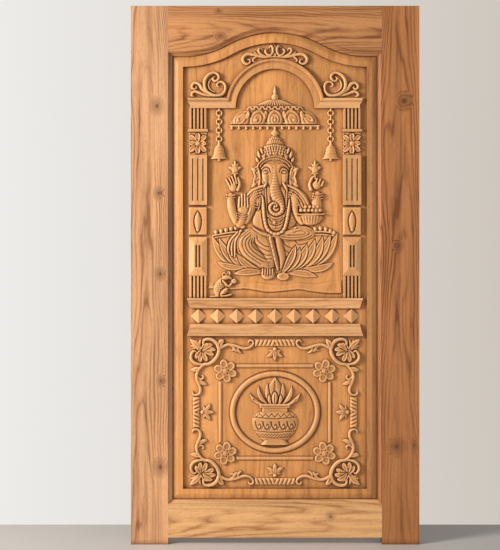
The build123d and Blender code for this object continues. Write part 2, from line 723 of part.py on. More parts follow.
ROSETTE_PETALS = 6
ROSETTE_TURN = 18.0
PETAL_R = 17.5
PETAL_RISE = 9.0
ROSETTE_HEART_R = 19.0
ROSETTE_HEART_RISE = 13.0


def rosette():
    """Six cupped petals round a domed heart."""
    reach = ROSETTE_R - PETAL_R
    cup = ((0.8, PETAL_RISE), (0, PETAL_RISE * 0.5))
    forms = []
    for i in range(ROSETTE_PETALS):
        turn = ROSETTE_TURN + 360 * i / ROSETTE_PETALS
        centre = (reach * cos(radians(turn)), reach * sin(radians(turn)))
        forms.append(boss(centre, PETAL_R, PETAL_R, cup, 5, turn))
    rise = ((0.72, 0.7 * ROSETTE_HEART_RISE), (0, ROSETTE_HEART_RISE))
    forms.append(boss((0, 0), ROSETTE_HEART_R, ROSETTE_HEART_R, rise, ROSETTE_PETALS, ROSETTE_TURN))
    return joined(forms)


# The water pot with its leaves, drawn from the field's middle for a ring this tall inside

POT_RING_HALF_H = 142.5
POT_BODY = ((0, 4, 56, 12), (0, -9, 81, 15), (0, -32, 93, 18), (0, -60, 90, 18), (0, -88, 75, 15),
            (0, -112, 52, 12))
POT_FOOT = ((0, -110, 46, 13), (0, -122, 52, 13), (0, -129.5, 58, 13))
POT_TALL_LEAF = ((0, 30, 36, 9), (0, 62, 38, 10), (0, 90, 34, 10), (0, 116, 20, 9), (0, 140, 0, 6))
POT_FRONT_LEAF = ((-2, 30), (0, 81), 17, 15, 0.0)
POT_SIDE_LEAVES = (((-30, 32), (-64, 104), 13, 12, 0.12), ((-46, 32), (-97, 70), 12, 13, 0.12))
POT_NECK = (-50, 50, 0, 20, 11)
POT_RIMS = ((-60, 60, 18, 26, 13), (-62, 62, 25, 34, 14))


def kalash_pot():
    """A full pot: foot, swelled body, neck, rolled rim and a crown of leaves, as tall as its ring."""
    tall = (RING_HALF_H - RING_BAND) / POT_RING_HALF_H

    def run(rows, section):
        return stroke([(x, y * tall, half, rise) for x, y, half, rise in rows], section)

    def pot_leaf(foot, tip, half, rise, bend, section=PITCHED):
        ends = [(x, y * tall) for x, y in (foot, tip)]
        return leaf(*ends, half, rise, bend, section, LONG_LEAF_SHAPE)

    sides = [pot_leaf(*row) for row in POT_SIDE_LEAVES]
    forms = [run(POT_BODY, SWELLED), run(POT_FOOT, BLUNT), run(POT_TALL_LEAF, CREASED),
             pot_leaf(*POT_FRONT_LEAF, CREASED)]
    for x0, x1, y0, y1, rise in (POT_NECK,) + POT_RIMS:
        forms.append(bar(x0, x1, y0 * tall, y1 * tall, rise))
    return Pos(0, FIELD_MIDDLE_Z, 0) * joined(forms + sides + [flipped(form) for form in sides])


# The niche's canopy: tiers from the fillet up, drawn from the arch's springing

CANOPY_FINIAL = ((1, 28), (1, 92), 15, 14)
CANOPY_DOME = ((-76, 11), (76, 11), (32, 33), (-32, 33))
CANOPY_BAND = ((-118, -12), (118, -12), (104, 9), (-104, 9))
CANOPY_TIER = ((-176, -56), (176, -56), (170, -44), (122, -11), (-122, -11), (-170, -44))
CANOPY_TIER_RISE = 7.0
CANOPY_BAND_RISE = 8.0
CANOPY_FILLET = (-178, 178, -70, -55, 11)
CANOPY_RIBS = 5
CANOPY_WAVES = 7
WAVE_PITCH = 34.0
CANOPY_PETALS = ((-118, 26, -9), (-62, 28, -5), (0, 30, 0), (62, 28, 5), (118, 26, 9))
TASSELS = 13
TASSEL_PITCH = 28.6
TASSEL_R = 7.0
TASSEL_H = 16.0


def canopy():
    """The tiered canopy: finial, ribbed dome, wavy band, petal tier, fillet and tassels."""
    forms = [
        leaf(*CANOPY_FINIAL),
        prism(CANOPY_DOME, CANOPY_TIER_RISE),
        prism(CANOPY_BAND, CANOPY_BAND_RISE),
        prism(CANOPY_TIER, CANOPY_TIER_RISE),
        bar(*CANOPY_FILLET),
    ]
    for i in range(CANOPY_RIBS):
        t = 2 * i / (CANOPY_RIBS - 1) - 1
        forms.append(stroke(((62 * t, 13, 6, 4), (26 * t, 31, 3, 2)), base=CANOPY_TIER_RISE))
    wave = []
    for i in range(CANOPY_WAVES):
        x = (i - (CANOPY_WAVES - 1) / 2) * WAVE_PITCH
        wave.append((x, -6 if i % 2 else 4, 3.5, 3))
    forms.append(stroke(wave, base=CANOPY_BAND_RISE))
    for x, half, lean in CANOPY_PETALS:
        forms.append(leaf((x + lean, -54), (x - 2 * lean, -14), half, 5, 0.0, SCOOPED, PETAL_SHAPE,
                          CANOPY_TIER_RISE))
    fillet_foot = CANOPY_FILLET[2]
    for i in range(TASSELS):
        x = (i - (TASSELS - 1) / 2) * TASSEL_PITCH
        forms.append(stroke(((x, fillet_foot, TASSEL_R * 0.6, 8), (x, fillet_foot - TASSEL_H, TASSEL_R, 10))))
    return Pos(0, SPRING_Z, 0) * joined(forms)


# The bells hang beside the canopy, drawn from the cornice down

BELL_INSET = 48.0
CHAIN_PITCH = 34.3
CHAIN_LINKS = 4
LINK_RISE = 7.0
LINK_R = 14.0
LINK_HOLE_R = 7.5
BELL_ROWS = ((0, -134, 5, 8), (0, -143, 11, 12), (0, -154, 20, 14), (0, -184, 25, 16), (0, -204, 34, 15))


def chain_link(y):
    """One face-on link with the edge-on link that hangs from it."""
    outer = [(LINK_R * cos(a), LINK_R * sin(a)) for a in (pi * k / 3 for k in range(6))]
    inner = [(LINK_HOLE_R * cos(a), LINK_HOLE_R * sin(a)) for a in (pi * k / 2 for k in range(4))]
    ring = Pos(0, y, 0) * (prism(outer, LINK_RISE) - prism(inner, LINK_RISE))
    foot = y - LINK_R * sin(pi / 3)
    next_head = foot - CHAIN_PITCH + 2 * LINK_R * sin(pi / 3)
    edge_on = stroke(((0, foot + 1, 5, 10), (0, next_head - 1, 5, 10)))
    return [ring, edge_on]


def bell_on_chain():
    """The left bell, hung by its carved chain from the cornice."""
    forms = [stroke(((0, 0, 4, 9), (0, -10, 4, 10)))]
    for i in range(CHAIN_LINKS):
        forms += chain_link(-19 - i * CHAIN_PITCH)
    forms.append(stroke(BELL_ROWS, BLUNT))
    forms.append(dome((0, -206), 10, 8, 11, 5))
    return Pos(-NICHE_W / 2 + BELL_INSET, SPRING_Z, 0) * joined(forms)


# The seated figure, drawn from the middle of the niche's floor

CROWN_ROWS = ((0, 524, 58, 11), (0, 566, 67, 14), (0, 592, 60, 14), (0, 612, 40, 12), (0, 646, 12, 8),
              (0, 665, 6, 6))
HEAD_ROWS = ((0, 556, 40, 10), (0, 526, 55, 15), (0, 480, 55, 16), (0, 438, 26, 12))
BROW_BAND = ((-62, 524, 5, 15), (-30, 555, 5, 18), (30, 555, 5, 18), (62, 524, 5, 15))
EAR_ROWS = ((-75, 524, 12, 10), (-81, 505, 18, 12), (-73, 476, 12, 11), (-79, 428, 20, 9))
CHEEK = ((-39, 488), 17, 36, 19, 6)
TUSKS = (((31, 454), (49, 420), 6, 18), ((-36, 456), (-45, 431), 5, 17))
TRUNK_STROKES = (
    ((0, 520, 15, 18), (0, 478, 19, 20), (-1, 420, 27, 20.5), (14, 380, 21, 19), (30, 350, 13, 18),
     (22, 334, 12, 17.5)),
    ((30, 350, 12, 17.5), (20, 333, 12.5, 18), (-10, 333, 12, 17.5), (-20, 350, 9.5, 17), (-6, 366, 6, 16)),
)
CHEST_ROWS = ((0, 436, 60, 9), (0, 408, 78, 11), (0, 345, 62, 13))
BELLY = ((-4, 312), 88, 70, ((0.8, 13), (0, 18)), 11)
GARLAND_ROWS = ((-64, 428, 7, 14), (-52, 344, 8, 19), (-28, 268, 8, 20), (28, 268, 8, 20), (50, 338, 8, 19),
                (62, 415, 7, 14))
ARM_STROKES = (
    ((-72, 420, 14, 12), (-83, 378, 17, 13), (-105, 325, 17, 12), (-138, 292, 14, 11)),
    ((-177, 424, 15, 12), (-177, 375, 17, 13), (-164, 326, 18, 12), (-144, 292, 14, 11)),
    ((-128, 330, 18, 12), (-131, 304, 17, 13), (-142, 286, 13, 11)),
    ((90, 420, 16, 10), (118, 388, 15, 10), (127, 350, 12, 9)),
    ((66, 414, 15, 12), (75, 370, 15, 13), (82, 328, 13, 11), (102, 302, 12, 10)),
    ((168, 424, 16, 12), (165, 384, 18, 13), (160, 345, 18, 12)),
)
BRACELET_STROKES = (
    ((-196, 408, 7, 16), (-159, 408, 7, 16)),
    ((148, 404, 7, 16), (187, 404, 7, 16)),
    ((-150, 320, 6, 15), (-108, 321, 6, 15)),
)
PALMS = ((-167, 441, 21, 20, 14), (163, 442, 24, 20, 14), (-125, 352, 25, 31, 15))
FINGER_STROKES = (
    ((-175, 446, 6, 14), (-188, 476, 5, 12)),
    ((-152, 430, 7, 15), (-146, 455, 6, 14), (-155, 486, 4, 12)),
    ((173, 448, 6, 14), (183, 474, 5, 12)),
    ((146, 432, 7, 15), (140, 455, 6, 14), (150, 484, 4, 12)),
    ((-146, 370, 5, 14), (-143, 407, 4, 12)),
    ((-134.5, 372, 5, 15), (-133, 416, 4, 13)),
    ((-123, 372, 5, 15), (-122, 414, 4, 13)),
    ((-112, 370, 5, 14), (-112, 402, 4, 12)),
    ((-106, 338, 6, 14), (-101, 389, 4, 11)),
)
HELD_BUDS = (
    ((-160, 476), (-160, 547), 15, 12, 0.0),
    ((-164, 486), (-196, 520), 8, 9, 0.1),
    ((155, 476), (158, 547), 16, 12, 0.0),
    ((162, 486), (186, 522), 8, 9, -0.1),
)
BOWL_ROWS = ((140, 291, 24, 15), (141, 306, 42, 17), (142, 336, 57, 17))
SWEETS = ((110, 347), (141, 350), (173, 347), (141, 366))
SWEET_R = 15.0
SWEET_RISE = 18.0
LEG_STROKES = (
    ((-40, 240, 26, 12), (-95, 246, 37, 15), (-134, 236, 40, 16), (-160, 224, 22, 13)),
    ((-132, 236, 38, 14), (-118, 202, 42, 15), (-72, 160, 34, 16), (-27, 118, 20, 14)),
    ((18, 246, 4, 10), (56, 247, 27, 15), (104, 254, 37, 17), (152, 256, 16, 13)),
)
CLOTH_STROKES = (
    ((0, 250, 16, 14), (8, 180, 20, 13), (20, 98, 7, 10)),
    ((44, 236, 20, 12), (20, 120, 4, 9)),
)
DRAPE_STROKES = (
    ((-136, 278, 9, 14), (-166, 232, 9, 14), (-168, 164, 7, 11)),
    ((26, 244, 4, 16), (68, 220, 5, 18), (136, 234, 4, 17)),
)
FEET = ((-27, 97, 31, 28, 14), (32, 86, 27, 20, 11))
ANKLET = ((-50, 130, 5, 16), (-5, 130, 5, 16))
LOTUS_PETALS = (
    ((50, 112), (98, 214), 19, 11, 0.12),
    ((84, 116), (156, 240), 21, 10, 0.16),
    ((122, 130), (248, 246), 23, 10, 0.2),
    ((-118, 138), (-202, 234), 20, 9, -0.18),
    ((-130, 128), (-252, 246), 21, 9, -0.2),
)
LOTUS_LEAVES = (
    ((-60, 120), (-136, 182), 17, 9, -0.12),
    ((108, 122), (234, 137), 18, 9, -0.08),
    ((44, 100), (164, 92), 18, 9, 0.04),
    ((-44, 100), (-162, 98), 17, 9, -0.04),
)
LEDGES = (
    ((132, 262, 14, 8), (236, 258, 12, 7)),
    ((-152, 276, 12, 8), (-244, 258, 12, 7)),
)


def arms():
    """Four arms with their hands, bracelets and the buds that two of the hands hold."""
    forms = [stroke(rows, BLUNT) for rows in ARM_STROKES]
    forms += [stroke(rows) for rows in BRACELET_STROKES + FINGER_STROKES]
    forms += [dome((x, y), rx, ry, height, 6) for x, y, rx, ry, height in PALMS]
    return forms + [leaf(*row) for row in HELD_BUDS]


def head():
    """Crown, face, ears, tusks and the trunk with its curled end."""
    ear = stroke(EAR_ROWS)
    cheek = dome(*CHEEK)
    forms = [stroke(CROWN_ROWS, BLUNT), stroke(HEAD_ROWS, ROUNDED), stroke(BROW_BAND)]
    forms += [ear, flipped(ear), cheek, flipped(cheek)]
    forms += [stroke(rows, BLUNT) for rows in TRUNK_STROKES]
    return forms + [leaf(*row) for row in TUSKS]


def torso():
    return [stroke(CHEST_ROWS, BLUNT), boss(*BELLY), stroke(GARLAND_ROWS)]


def bowl_of_sweets():
    sweets = [dome(centre, SWEET_R, SWEET_R, SWEET_RISE, 5) for centre in SWEETS]
    return [stroke(BOWL_ROWS, ROUNDED)] + sweets


def legs():
    """The folded legs with their cloth, sash, anklet and feet."""
    forms = [stroke(rows, BLUNT) for rows in LEG_STROKES + CLOTH_STROKES]
    forms += [stroke(rows) for rows in DRAPE_STROKES + (ANKLET,)]
    return forms + [dome((x, y), rx, ry, height, 7) for x, y, rx, ry, height in FEET]


def lotus_seat():
    """Scooped petals and folded leaves that fan out under the figure, and the ledges beside it."""
    petals = [leaf(*row, SCOOPED, PETAL_SHAPE) for row in LOTUS_PETALS]
    leaves = [leaf(*row) for row in LOTUS_LEAVES]
    return petals + leaves + [stroke(rows, BLUNT) for rows in LEDGES]


def seated_figure():
    """The elephant-headed figure on its lotus, carved as one piece."""
    forms = lotus_seat() + torso() + legs() + arms() + bowl_of_sweets() + head()
    return Pos(0, NICHE_Z, 0) * joined(forms)


# The mouse beside the figure, holding a sweet

MOUSE_BODY = ((-228, 12, 11, 9), (-216, 42, 20, 14), (-202, 70, 10, 11))
MOUSE_HEAD = ((-196, 92, 9, 10), (-188, 74, 16, 14), (-185, 47, 4, 10))
MOUSE_LIMBS = (
    ((-204, 56, 4, 11), (-188, 46, 4, 11), (-170, 60, 4, 10)),
    ((-214, 12, 7, 9), (-174, 12, 4, 8)),
)
MOUSE_EARS = ((-202, 93, 8, 10), (-181, 97, 7, 10))
MOUSE_SWEET = ((-164, 67), 12, 12, 13, 6)


def mouse():
    forms = [stroke(MOUSE_BODY, BLUNT), stroke(MOUSE_HEAD, BLUNT)]
    forms += [stroke(rows) for rows in MOUSE_LIMBS]
    forms += [dome((x, y), radius, radius, height, 5) for x, y, radius, height in MOUSE_EARS]
    return Pos(0, NICHE_Z, 0) * joined(forms + [dome(*MOUSE_SWEET)])


# Every node, standing in its place

def field_carvings():
    """The carvings of the lower field that repeat about its middle."""
    out = {}
    corner = corner_scroll()
    flower = Pos(-ROSETTE_X, FIELD_MIDDLE_Z - ROSETTE_REACH_Z, 0) * rosette()
    rope_y = LOWER_FIELD_H / 2 - ROPE_INSET
    rope_x = GROUND_HALF_W - SIDE_ROPE_INSET
    level_rope = rope(GROUND_HALF_W - CORNER_REACH_X - ROPE_GAP, ROPE_STRANDS)
    side_rope = rope(LOWER_FIELD_H / 2 - CORNER_REACH_Z - ROPE_GAP, SIDE_ROPE_STRANDS).rotate(Axis.Z, 90)
    bud_offset = ROPE_W / 2 + BUD_GAP + BUD_R
    standing_bud = bud().rotate(Axis.Z, 180)
    out["bottom_left_corner_scroll"] = corner
    out["bottom_left_rosette"] = flower
    out["bottom_right_corner_scroll"] = flipped(corner)
    out["bottom_right_rosette"] = flipped(flower)
    out["bottom_rope"] = Pos(0, FIELD_MIDDLE_Z - rope_y, 0) * level_rope
    out["bottom_bud"] = Pos(0, FIELD_MIDDLE_Z - rope_y + bud_offset, 0) * standing_bud
    for name in list(out):
        above = Pos(0, 2 * FIELD_MIDDLE_Z, 0) * inverted(out[name])
        out[name.replace("bottom", "top")] = above
    out["left_rope"] = Pos(-rope_x, FIELD_MIDDLE_Z, 0) * side_rope
    out["left_bud"] = Pos(bud_offset - rope_x, FIELD_MIDDLE_Z, 0) * bud().rotate(Axis.Z, 90)
    return out


def carvings():
    """The applied carvings by node name, drawn flat."""
    out = {
        "arch_moulding": arch_moulding(),
        "left_cornice": cornice(),
        "crest_scroll": crest_scroll(),
        "left_spandrel_scroll": spandrel_scroll(),
        "canopy": canopy(),
        "left_bell_on_chain": bell_on_chain(),
        "seated_figure": seated_figure(),
        "mouse": mouse(),
        "upper_string_course": upper_string_course(),
        "diamond_studs": diamond_studs(),
        "lower_string_course": lower_string_course(),
        "kalash_pot": kalash_pot(),
    }
    out.update({"left_" + name: block for name, block in pilaster().items()})
    out.update(field_carvings())
    for name in [name for name in out if name.startswith("left_")]:
        out[name.replace("left_", "right_")] = flipped(out[name])
    return out


def build():
    os.makedirs("parts", exist_ok=True)
    nodes = frame_members()
    nodes["carved_panel"] = carved_panel()
    nodes.update({name: on_ground(form) for name, form in carvings().items()})
    for name, shape in nodes.items():
        export_step(shape, "parts/" + name + ".step")


build()
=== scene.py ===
import math

import bpy
import numpy as np
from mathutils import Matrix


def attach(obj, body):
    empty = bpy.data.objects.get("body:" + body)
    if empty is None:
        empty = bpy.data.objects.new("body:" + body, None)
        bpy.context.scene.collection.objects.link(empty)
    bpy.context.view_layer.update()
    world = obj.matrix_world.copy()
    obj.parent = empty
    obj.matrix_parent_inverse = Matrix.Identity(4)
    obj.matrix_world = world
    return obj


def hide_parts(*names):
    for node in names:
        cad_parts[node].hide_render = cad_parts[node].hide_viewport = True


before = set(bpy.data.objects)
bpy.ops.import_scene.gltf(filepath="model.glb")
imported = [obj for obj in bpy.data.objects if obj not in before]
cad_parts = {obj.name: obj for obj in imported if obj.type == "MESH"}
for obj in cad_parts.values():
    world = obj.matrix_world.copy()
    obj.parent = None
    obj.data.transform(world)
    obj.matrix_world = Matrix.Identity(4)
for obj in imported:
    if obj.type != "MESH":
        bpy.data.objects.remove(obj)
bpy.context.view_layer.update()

# Metres: the leaf's width, and where its carved ground and its front face lie
MM = 0.001
LEAF_W = 1.143
GROUND_Y = -0.0015
FACE_Y = -0.0225

# Millimetres: the places on the leaf that carvings are drawn from
FIELD_HALF_W = 365.5
FIELD_Z = 218.0
FIELD_MIDDLE_Z = 521.75
NICHE_Z = 976.0
LENS_MIDDLE_Z = 1282.5
FLOWER_MIDDLE_Z = 1591.0
SPRING_Z = 1731.0
CORNICE_TOP_Z = 1770.5
CREST_Z = 1927.0
PILASTER_X = -306.5
BELL_X = -222.0

# Millimetres: the pitch of the grid that a carving is cut on, from coarse to fine
PITCH = 1.5
FIGURE_PITCH = 1.4
POT_PITCH = 1.3
FINE_PITCH = 1.2
LENS_PITCH = 1.0

# Millimetres: a carving's seat, the least that a cut leaves, a moat's width and the depth below its
# surroundings at which a hollow's painted shade is full (a ridge's painted highlight is full at the same
# height above them)
SEAT = 0.4
LEAST_HEIGHT = 0.6
MOAT_W = 2.6
FULL_PAINTED_SHADE_DEPTH = 2.2

# Places of repeated carvings, which are turned over for the right and for the top
SIDES = ("left", "right")
ENDS = ("bottom", "top")
CORNERS = ("bottom_left", "bottom_right", "top_left", "top_right")
EVERYWHERE = (slice(None), slice(None))


# Sections across a carved form: u is 0 on its middle line and 1 at its edge

def rounded(u):
    return np.sqrt(np.clip(1 - u * u, 0, 1))


def swelled(u):
    return np.clip(1 - u ** 2.4, 0, 1) ** 0.75


def folded(u):
    return np.clip(1 - u, 0, 1) ** 0.65


def flat(u):
    return np.clip((1 - u) / 0.28, 0, 1) ** 0.5


def scooped(u):
    """Raised rims, a hollow inside each and a low rib between."""
    rim = 0.62 + 0.38 * np.clip(u / 0.78, 0, 1) ** 2
    rib = 0.2 * np.clip(1 - u / 0.16, 0, 1)
    return (rim + rib) * np.clip((1 - u) / 0.2, 0, 1) ** 0.5


def creased(u):
    """Full sides with a sunk line along the middle."""
    return rounded(u) * (1 - 0.3 * np.clip(1 - u / 0.28, 0, 1))


# Runs of (x, y, half width, height)

RUN_STEP = 2.5
LEVEL_STEP = 1.5
LEAF_STEPS = 15
LEAST_HALF_W = 0.3


def smooth(rows, step=RUN_STEP):
    """The rows joined by a curve through all of them."""
    rows = np.array(rows, float)
    if len(rows) == 2:
        return rows
    padded = np.vstack([2 * rows[0] - rows[1], rows, 2 * rows[-1] - rows[-2]])
    out = []
    for a, b, c, d in zip(padded, padded[1:], padded[2:], padded[3:]):
        count = max(2, int(np.hypot(*(c - b)[:2]) / step))
        for t in np.arange(count) / count:
            out.append(0.5 * (2 * b + (c - a) * t + (2 * a - 5 * b + 4 * c - d) * t * t
                              + (3 * b - a - 3 * c + d) * t ** 3))
    out.append(rows[-1])
    out = np.array(out)
    out[:, 2] = np.maximum(out[:, 2], LEAST_HALF_W)
    return out


def leaf_rows(foot, tip, half, height, bend=0.0, widest=0.4):
    """A leaf from its foot to its tip, bent sideways by a share of its length."""
    dx, dy = tip[0] - foot[0], tip[1] - foot[1]
    rows = []
    for t in np.linspace(0, 1, LEAF_STEPS):
        if t < widest:
            share = 0.4 + 0.6 * math.sin(math.pi / 2 * t / widest)
        else:
            share = math.cos(math.pi / 2 * (t - widest) / (1 - widest)) ** 0.9
        side = bend * 4 * t * (1 - t)
        rows.append((foot[0] + dx * t - dy * side, foot[1] + dy * t + dx * side,
                     max(half * share, 0.4), height * (0.7 + 0.3 * share)))
    return rows


def mirrored(rows):
    return [(-row[0], *row[1:]) for row in rows]


def around(radius, turn):
    """The point at a radius from the origin and an angle in radians."""
    return radius * math.cos(turn), radius * math.sin(turn)


def blurred(field, radius):
    """A box blur, twice over, for soft comparison heights."""
    for _ in range(2):
        for axis in (0, 1):
            field = np.moveaxis(field, axis, 0)
            before = np.repeat(field[:1], radius + 1, 0)
            after = np.repeat(field[-1:], radius, 0)
            total = np.cumsum(np.concatenate([before, field, after], 0), 0)
            field = (total[2 * radius + 1:] - total[:-2 * radius - 1]) / (2 * radius + 1)
            field = np.moveaxis(field, 0, axis)
    return field


class Relief:
    """A field of heights over part of the ground, in millimetres, that carved forms stand up from.

    Its reach and all that is drawn on it are measured from its origin on the leaf."""

    def __init__(self, x0, x1, y0, y1, pitch=PITCH, origin=(0.0, 0.0)):
        self.origin = origin
        self.pitch = pitch
        self.x = np.arange(origin[0] + x0, origin[0] + x1 + pitch, pitch)
        self.y = np.arange(origin[1] + y0, origin[1] + y1 + pitch, pitch)
        self.height = np.full((len(self.y), len(self.x)), -SEAT)

    def window(self, x0, x1, y0, y1):
        columns = slice(*np.searchsorted(self.x, (x0, x1)))
        rows = slice(*np.searchsorted(self.y, (y0, y1)))
        return rows, columns

    def put(self, place, inside, values, how):
        """Raise the heights to the values, add the values or cut them away, where inside is true."""
        old = self.height[place]
        if how == "raise":
            new = np.maximum(old, values)
        elif how == "add":
            new = old + values
        else:
            new = np.maximum(old - values, np.minimum(old, LEAST_HEIGHT))
        self.height[place] = np.where(inside, new, old)

    def stroke(self, rows, section=rounded, how="raise", ripple=None, even=False, moat=0.0):
        """A form along a run: raised to its height, added to what is there, or cut into it.

        The run is smoothed unless its rows are even already. A ripple is the depth and the length of
        rings across the form. A moat is first cut round the form to that depth, so that it stands
        clear of what lies behind."""
        if moat:
            self.stroke([(x, y, half + MOAT_W, moat) for x, y, half, _ in rows], flat, "cut", even=even)
        x0, y0 = self.origin
        rows = [(x + x0, y + y0, half, height) for x, y, half, height in rows]
        run = np.array(rows, float) if even else smooth(rows)
        widest = run[:, 2].max() + self.pitch
        place = self.window(run[:, 0].min() - widest, run[:, 0].max() + widest,
                            run[:, 1].min() - widest, run[:, 1].max() + widest)
        xs, ys = self.x[place[1]], self.y[place[0]]
        share = np.full((len(ys), len(xs)), 9.0)
        height = np.zeros(share.shape)
        travelled = np.zeros(share.shape)
        length = 0.0
        for a, b in zip(run, run[1:]):
            wide = max(a[2], b[2]) * 1.05 + self.pitch
            near_x = slice(*np.searchsorted(xs, (min(a[0], b[0]) - wide, max(a[0], b[0]) + wide)))
            near_y = slice(*np.searchsorted(ys, (min(a[1], b[1]) - wide, max(a[1], b[1]) + wide)))
            dx, dy = b[0] - a[0], b[1] - a[1]
            span = max(math.hypot(dx, dy), 1e-6)
            px, py = xs[near_x][None, :] - a[0], ys[near_y][:, None] - a[1]
            t = np.clip((px * dx + py * dy) / span ** 2, 0, 1)
            u = np.hypot(px - dx * t, py - dy * t) / (a[2] + (b[2] - a[2]) * t)
            part = (near_y, near_x)
            nearer = u < share[part]
            share[part] = np.where(nearer, u, share[part])
            height[part] = np.where(nearer, a[3] + (b[3] - a[3]) * t, height[part])
            travelled[part] = np.where(nearer, length + span * t, travelled[part])
            length += span
        values = height * section(np.minimum(share, 1))
        if ripple:
            depth, ring = ripple
            values = values * (1 - depth * (0.5 + 0.5 * np.cos(2 * math.pi * travelled / ring)) ** 3)
        self.put(place, share < 1, values, how)

    def lines(self, courses, half, depth, section=folded):
        """Lines cut along courses of points."""
        for course in courses:
            self.stroke([(x, y, half, depth) for x, y in course], section, "cut")

    def leaf(self, foot, tip, half, height, bend=0.0, section=creased, how="raise", widest=0.4, moat=0.0):
        self.stroke(leaf_rows(foot, tip, half, height, bend, widest), section, how, even=True, moat=moat)

    def side_leaves(self, leaves, at=0.0, **form):
        """Leaves drawn for the right, put on both sides of the line x = at."""
        for side in (-1, 1):
            for foot, tip, half, height, bend in leaves:
                self.leaf((at + side * foot[0], foot[1]), (at + side * tip[0], tip[1]), half, height,
                          bend * side, **form)

    def dome(self, cx, cy, rx, ry, height, section=rounded, how="raise", turn=0.0):
        cx, cy = cx + self.origin[0], cy + self.origin[1]
        reach = max(rx, ry) + self.pitch
        place = self.window(cx - reach, cx + reach, cy - reach, cy + reach)
        px, py = self.x[place[1]][None, :] - cx, self.y[place[0]][:, None] - cy
        c, s = around(1, math.radians(turn))
        u = np.hypot((px * c + py * s) / rx, (py * c - px * s) / ry)
        self.put(place, u < 1, height * section(np.minimum(u, 1)), how)

    def block(self, x0, x1, y0, y1, height, edge=1.5, how="raise"):
        """A bar with softened edges."""
        x0, x1, y0, y1 = x0 + self.origin[0], x1 + self.origin[0], y0 + self.origin[1], y1 + self.origin[1]
        place = self.window(x0, x1, y0, y1)
        px, py = self.x[place[1]][None, :], self.y[place[0]][:, None]
        inside = np.minimum(np.minimum(px - x0, x1 - px), np.minimum(py - y0, y1 - py))
        self.put(place, inside >= 0, height * np.clip(0.55 + 0.45 * inside / edge, 0, 1), how)

    def tapered(self, rows, section, at=0.0):
        """An upright form round x = at, given by its half width and height at each level."""
        levels = smooth([(0, self.origin[1] + y, half, height) for y, half, height in rows], LEVEL_STEP)
        levels = levels[np.argsort(levels[:, 1])]
        half, height = (np.interp(self.y, levels[:, 1], levels[:, i])[:, None] for i in (2, 3))
        inside = ((self.y >= levels[0, 1]) & (self.y <= levels[-1, 1]))[:, None]
        u = np.abs(self.x[None, :] - self.origin[0] - at) / half
        self.put(EVERYWHERE, inside & (u < 1), height * section(np.minimum(u, 1)), "raise")

    def piece(self, name, material, stands_for, mirror_x=False, mirror_y=None, slot="carving_wood"):
        """The carved surface as a mesh on the ground; mirror_y is the height that it is turned over at."""
        height = np.where(self.height > 0, 0.5 * self.height + 0.5 * blurred(self.height, 1), self.height)
        # Painted shade and highlight: how far each point lies below or above its blurred surroundings, stored
        # on the mesh to darken hollows and lighten ridges
        hollow = np.clip((height - blurred(np.maximum(height, 0), 3)) / FULL_PAINTED_SHADE_DEPTH, -1, 1)
        above = height > 0
        cell = above[:-1, :-1] | above[1:, :-1] | above[:-1, 1:] | above[1:, 1:]
        rows, columns = np.nonzero(cell)
        wide = len(self.x)
        corner = rows * wide + columns
        quads = np.stack([corner, corner + 1, corner + wide + 1, corner + wide], 1)
        used, index = np.unique(quads, return_inverse=True)
        quads = index.reshape(quads.shape)
        x = self.x[used % wide] * (-1 if mirror_x else 1)
        y = self.y[used // wide]
        if mirror_y is not None:
            y = 2 * mirror_y - y
        if mirror_x != (mirror_y is not None):
            quads = quads[:, ::-1]
        points = np.stack([x * MM, GROUND_Y - height.ravel()[used] * MM, y * MM], 1)
        piece = from_arrays(name, points, quads, material)
        painted_highlight_and_shade = piece.data.attributes.new("painted_highlight_and_shade", "FLOAT", "POINT")
        painted_highlight_and_shade.data.foreach_set("value", hollow.ravel()[used].astype(np.float32))
        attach(piece, "root")
        if stands_for:
            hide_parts(stands_for)

    def pieces(self, places, name, material, node):
        """One piece for each place, turned over where that place is on the right or at the top."""
        for place in places:
            self.piece(place + "_" + name, material, place + "_" + node, mirror_x="right" in place,
                       mirror_y=FIELD_MIDDLE_Z if "top" in place else None)


def from_arrays(name, points, quads, material):
    """A smooth-shaded mesh object from an array of points and one of four-cornered faces."""
    mesh = bpy.data.meshes.new(name)
    mesh.vertices.add(len(points))
    mesh.vertices.foreach_set("co", points.astype(np.float32).ravel())
    mesh.loops.add(quads.size)
    mesh.loops.foreach_set("vertex_index", quads.astype(np.int32).ravel())
    mesh.polygons.add(len(quads))
    mesh.polygons.foreach_set("loop_start", np.arange(0, quads.size, 4, dtype=np.int32))
    mesh.polygons.foreach_set("use_smooth", np.ones(len(quads), bool))
    mesh.update(calc_edges=True)
    mesh.validate()
    mesh.materials.append(material)
    piece = bpy.data.objects.new(name, mesh)
    bpy.context.scene.collection.objects.link(piece)
    return piece


# Wood

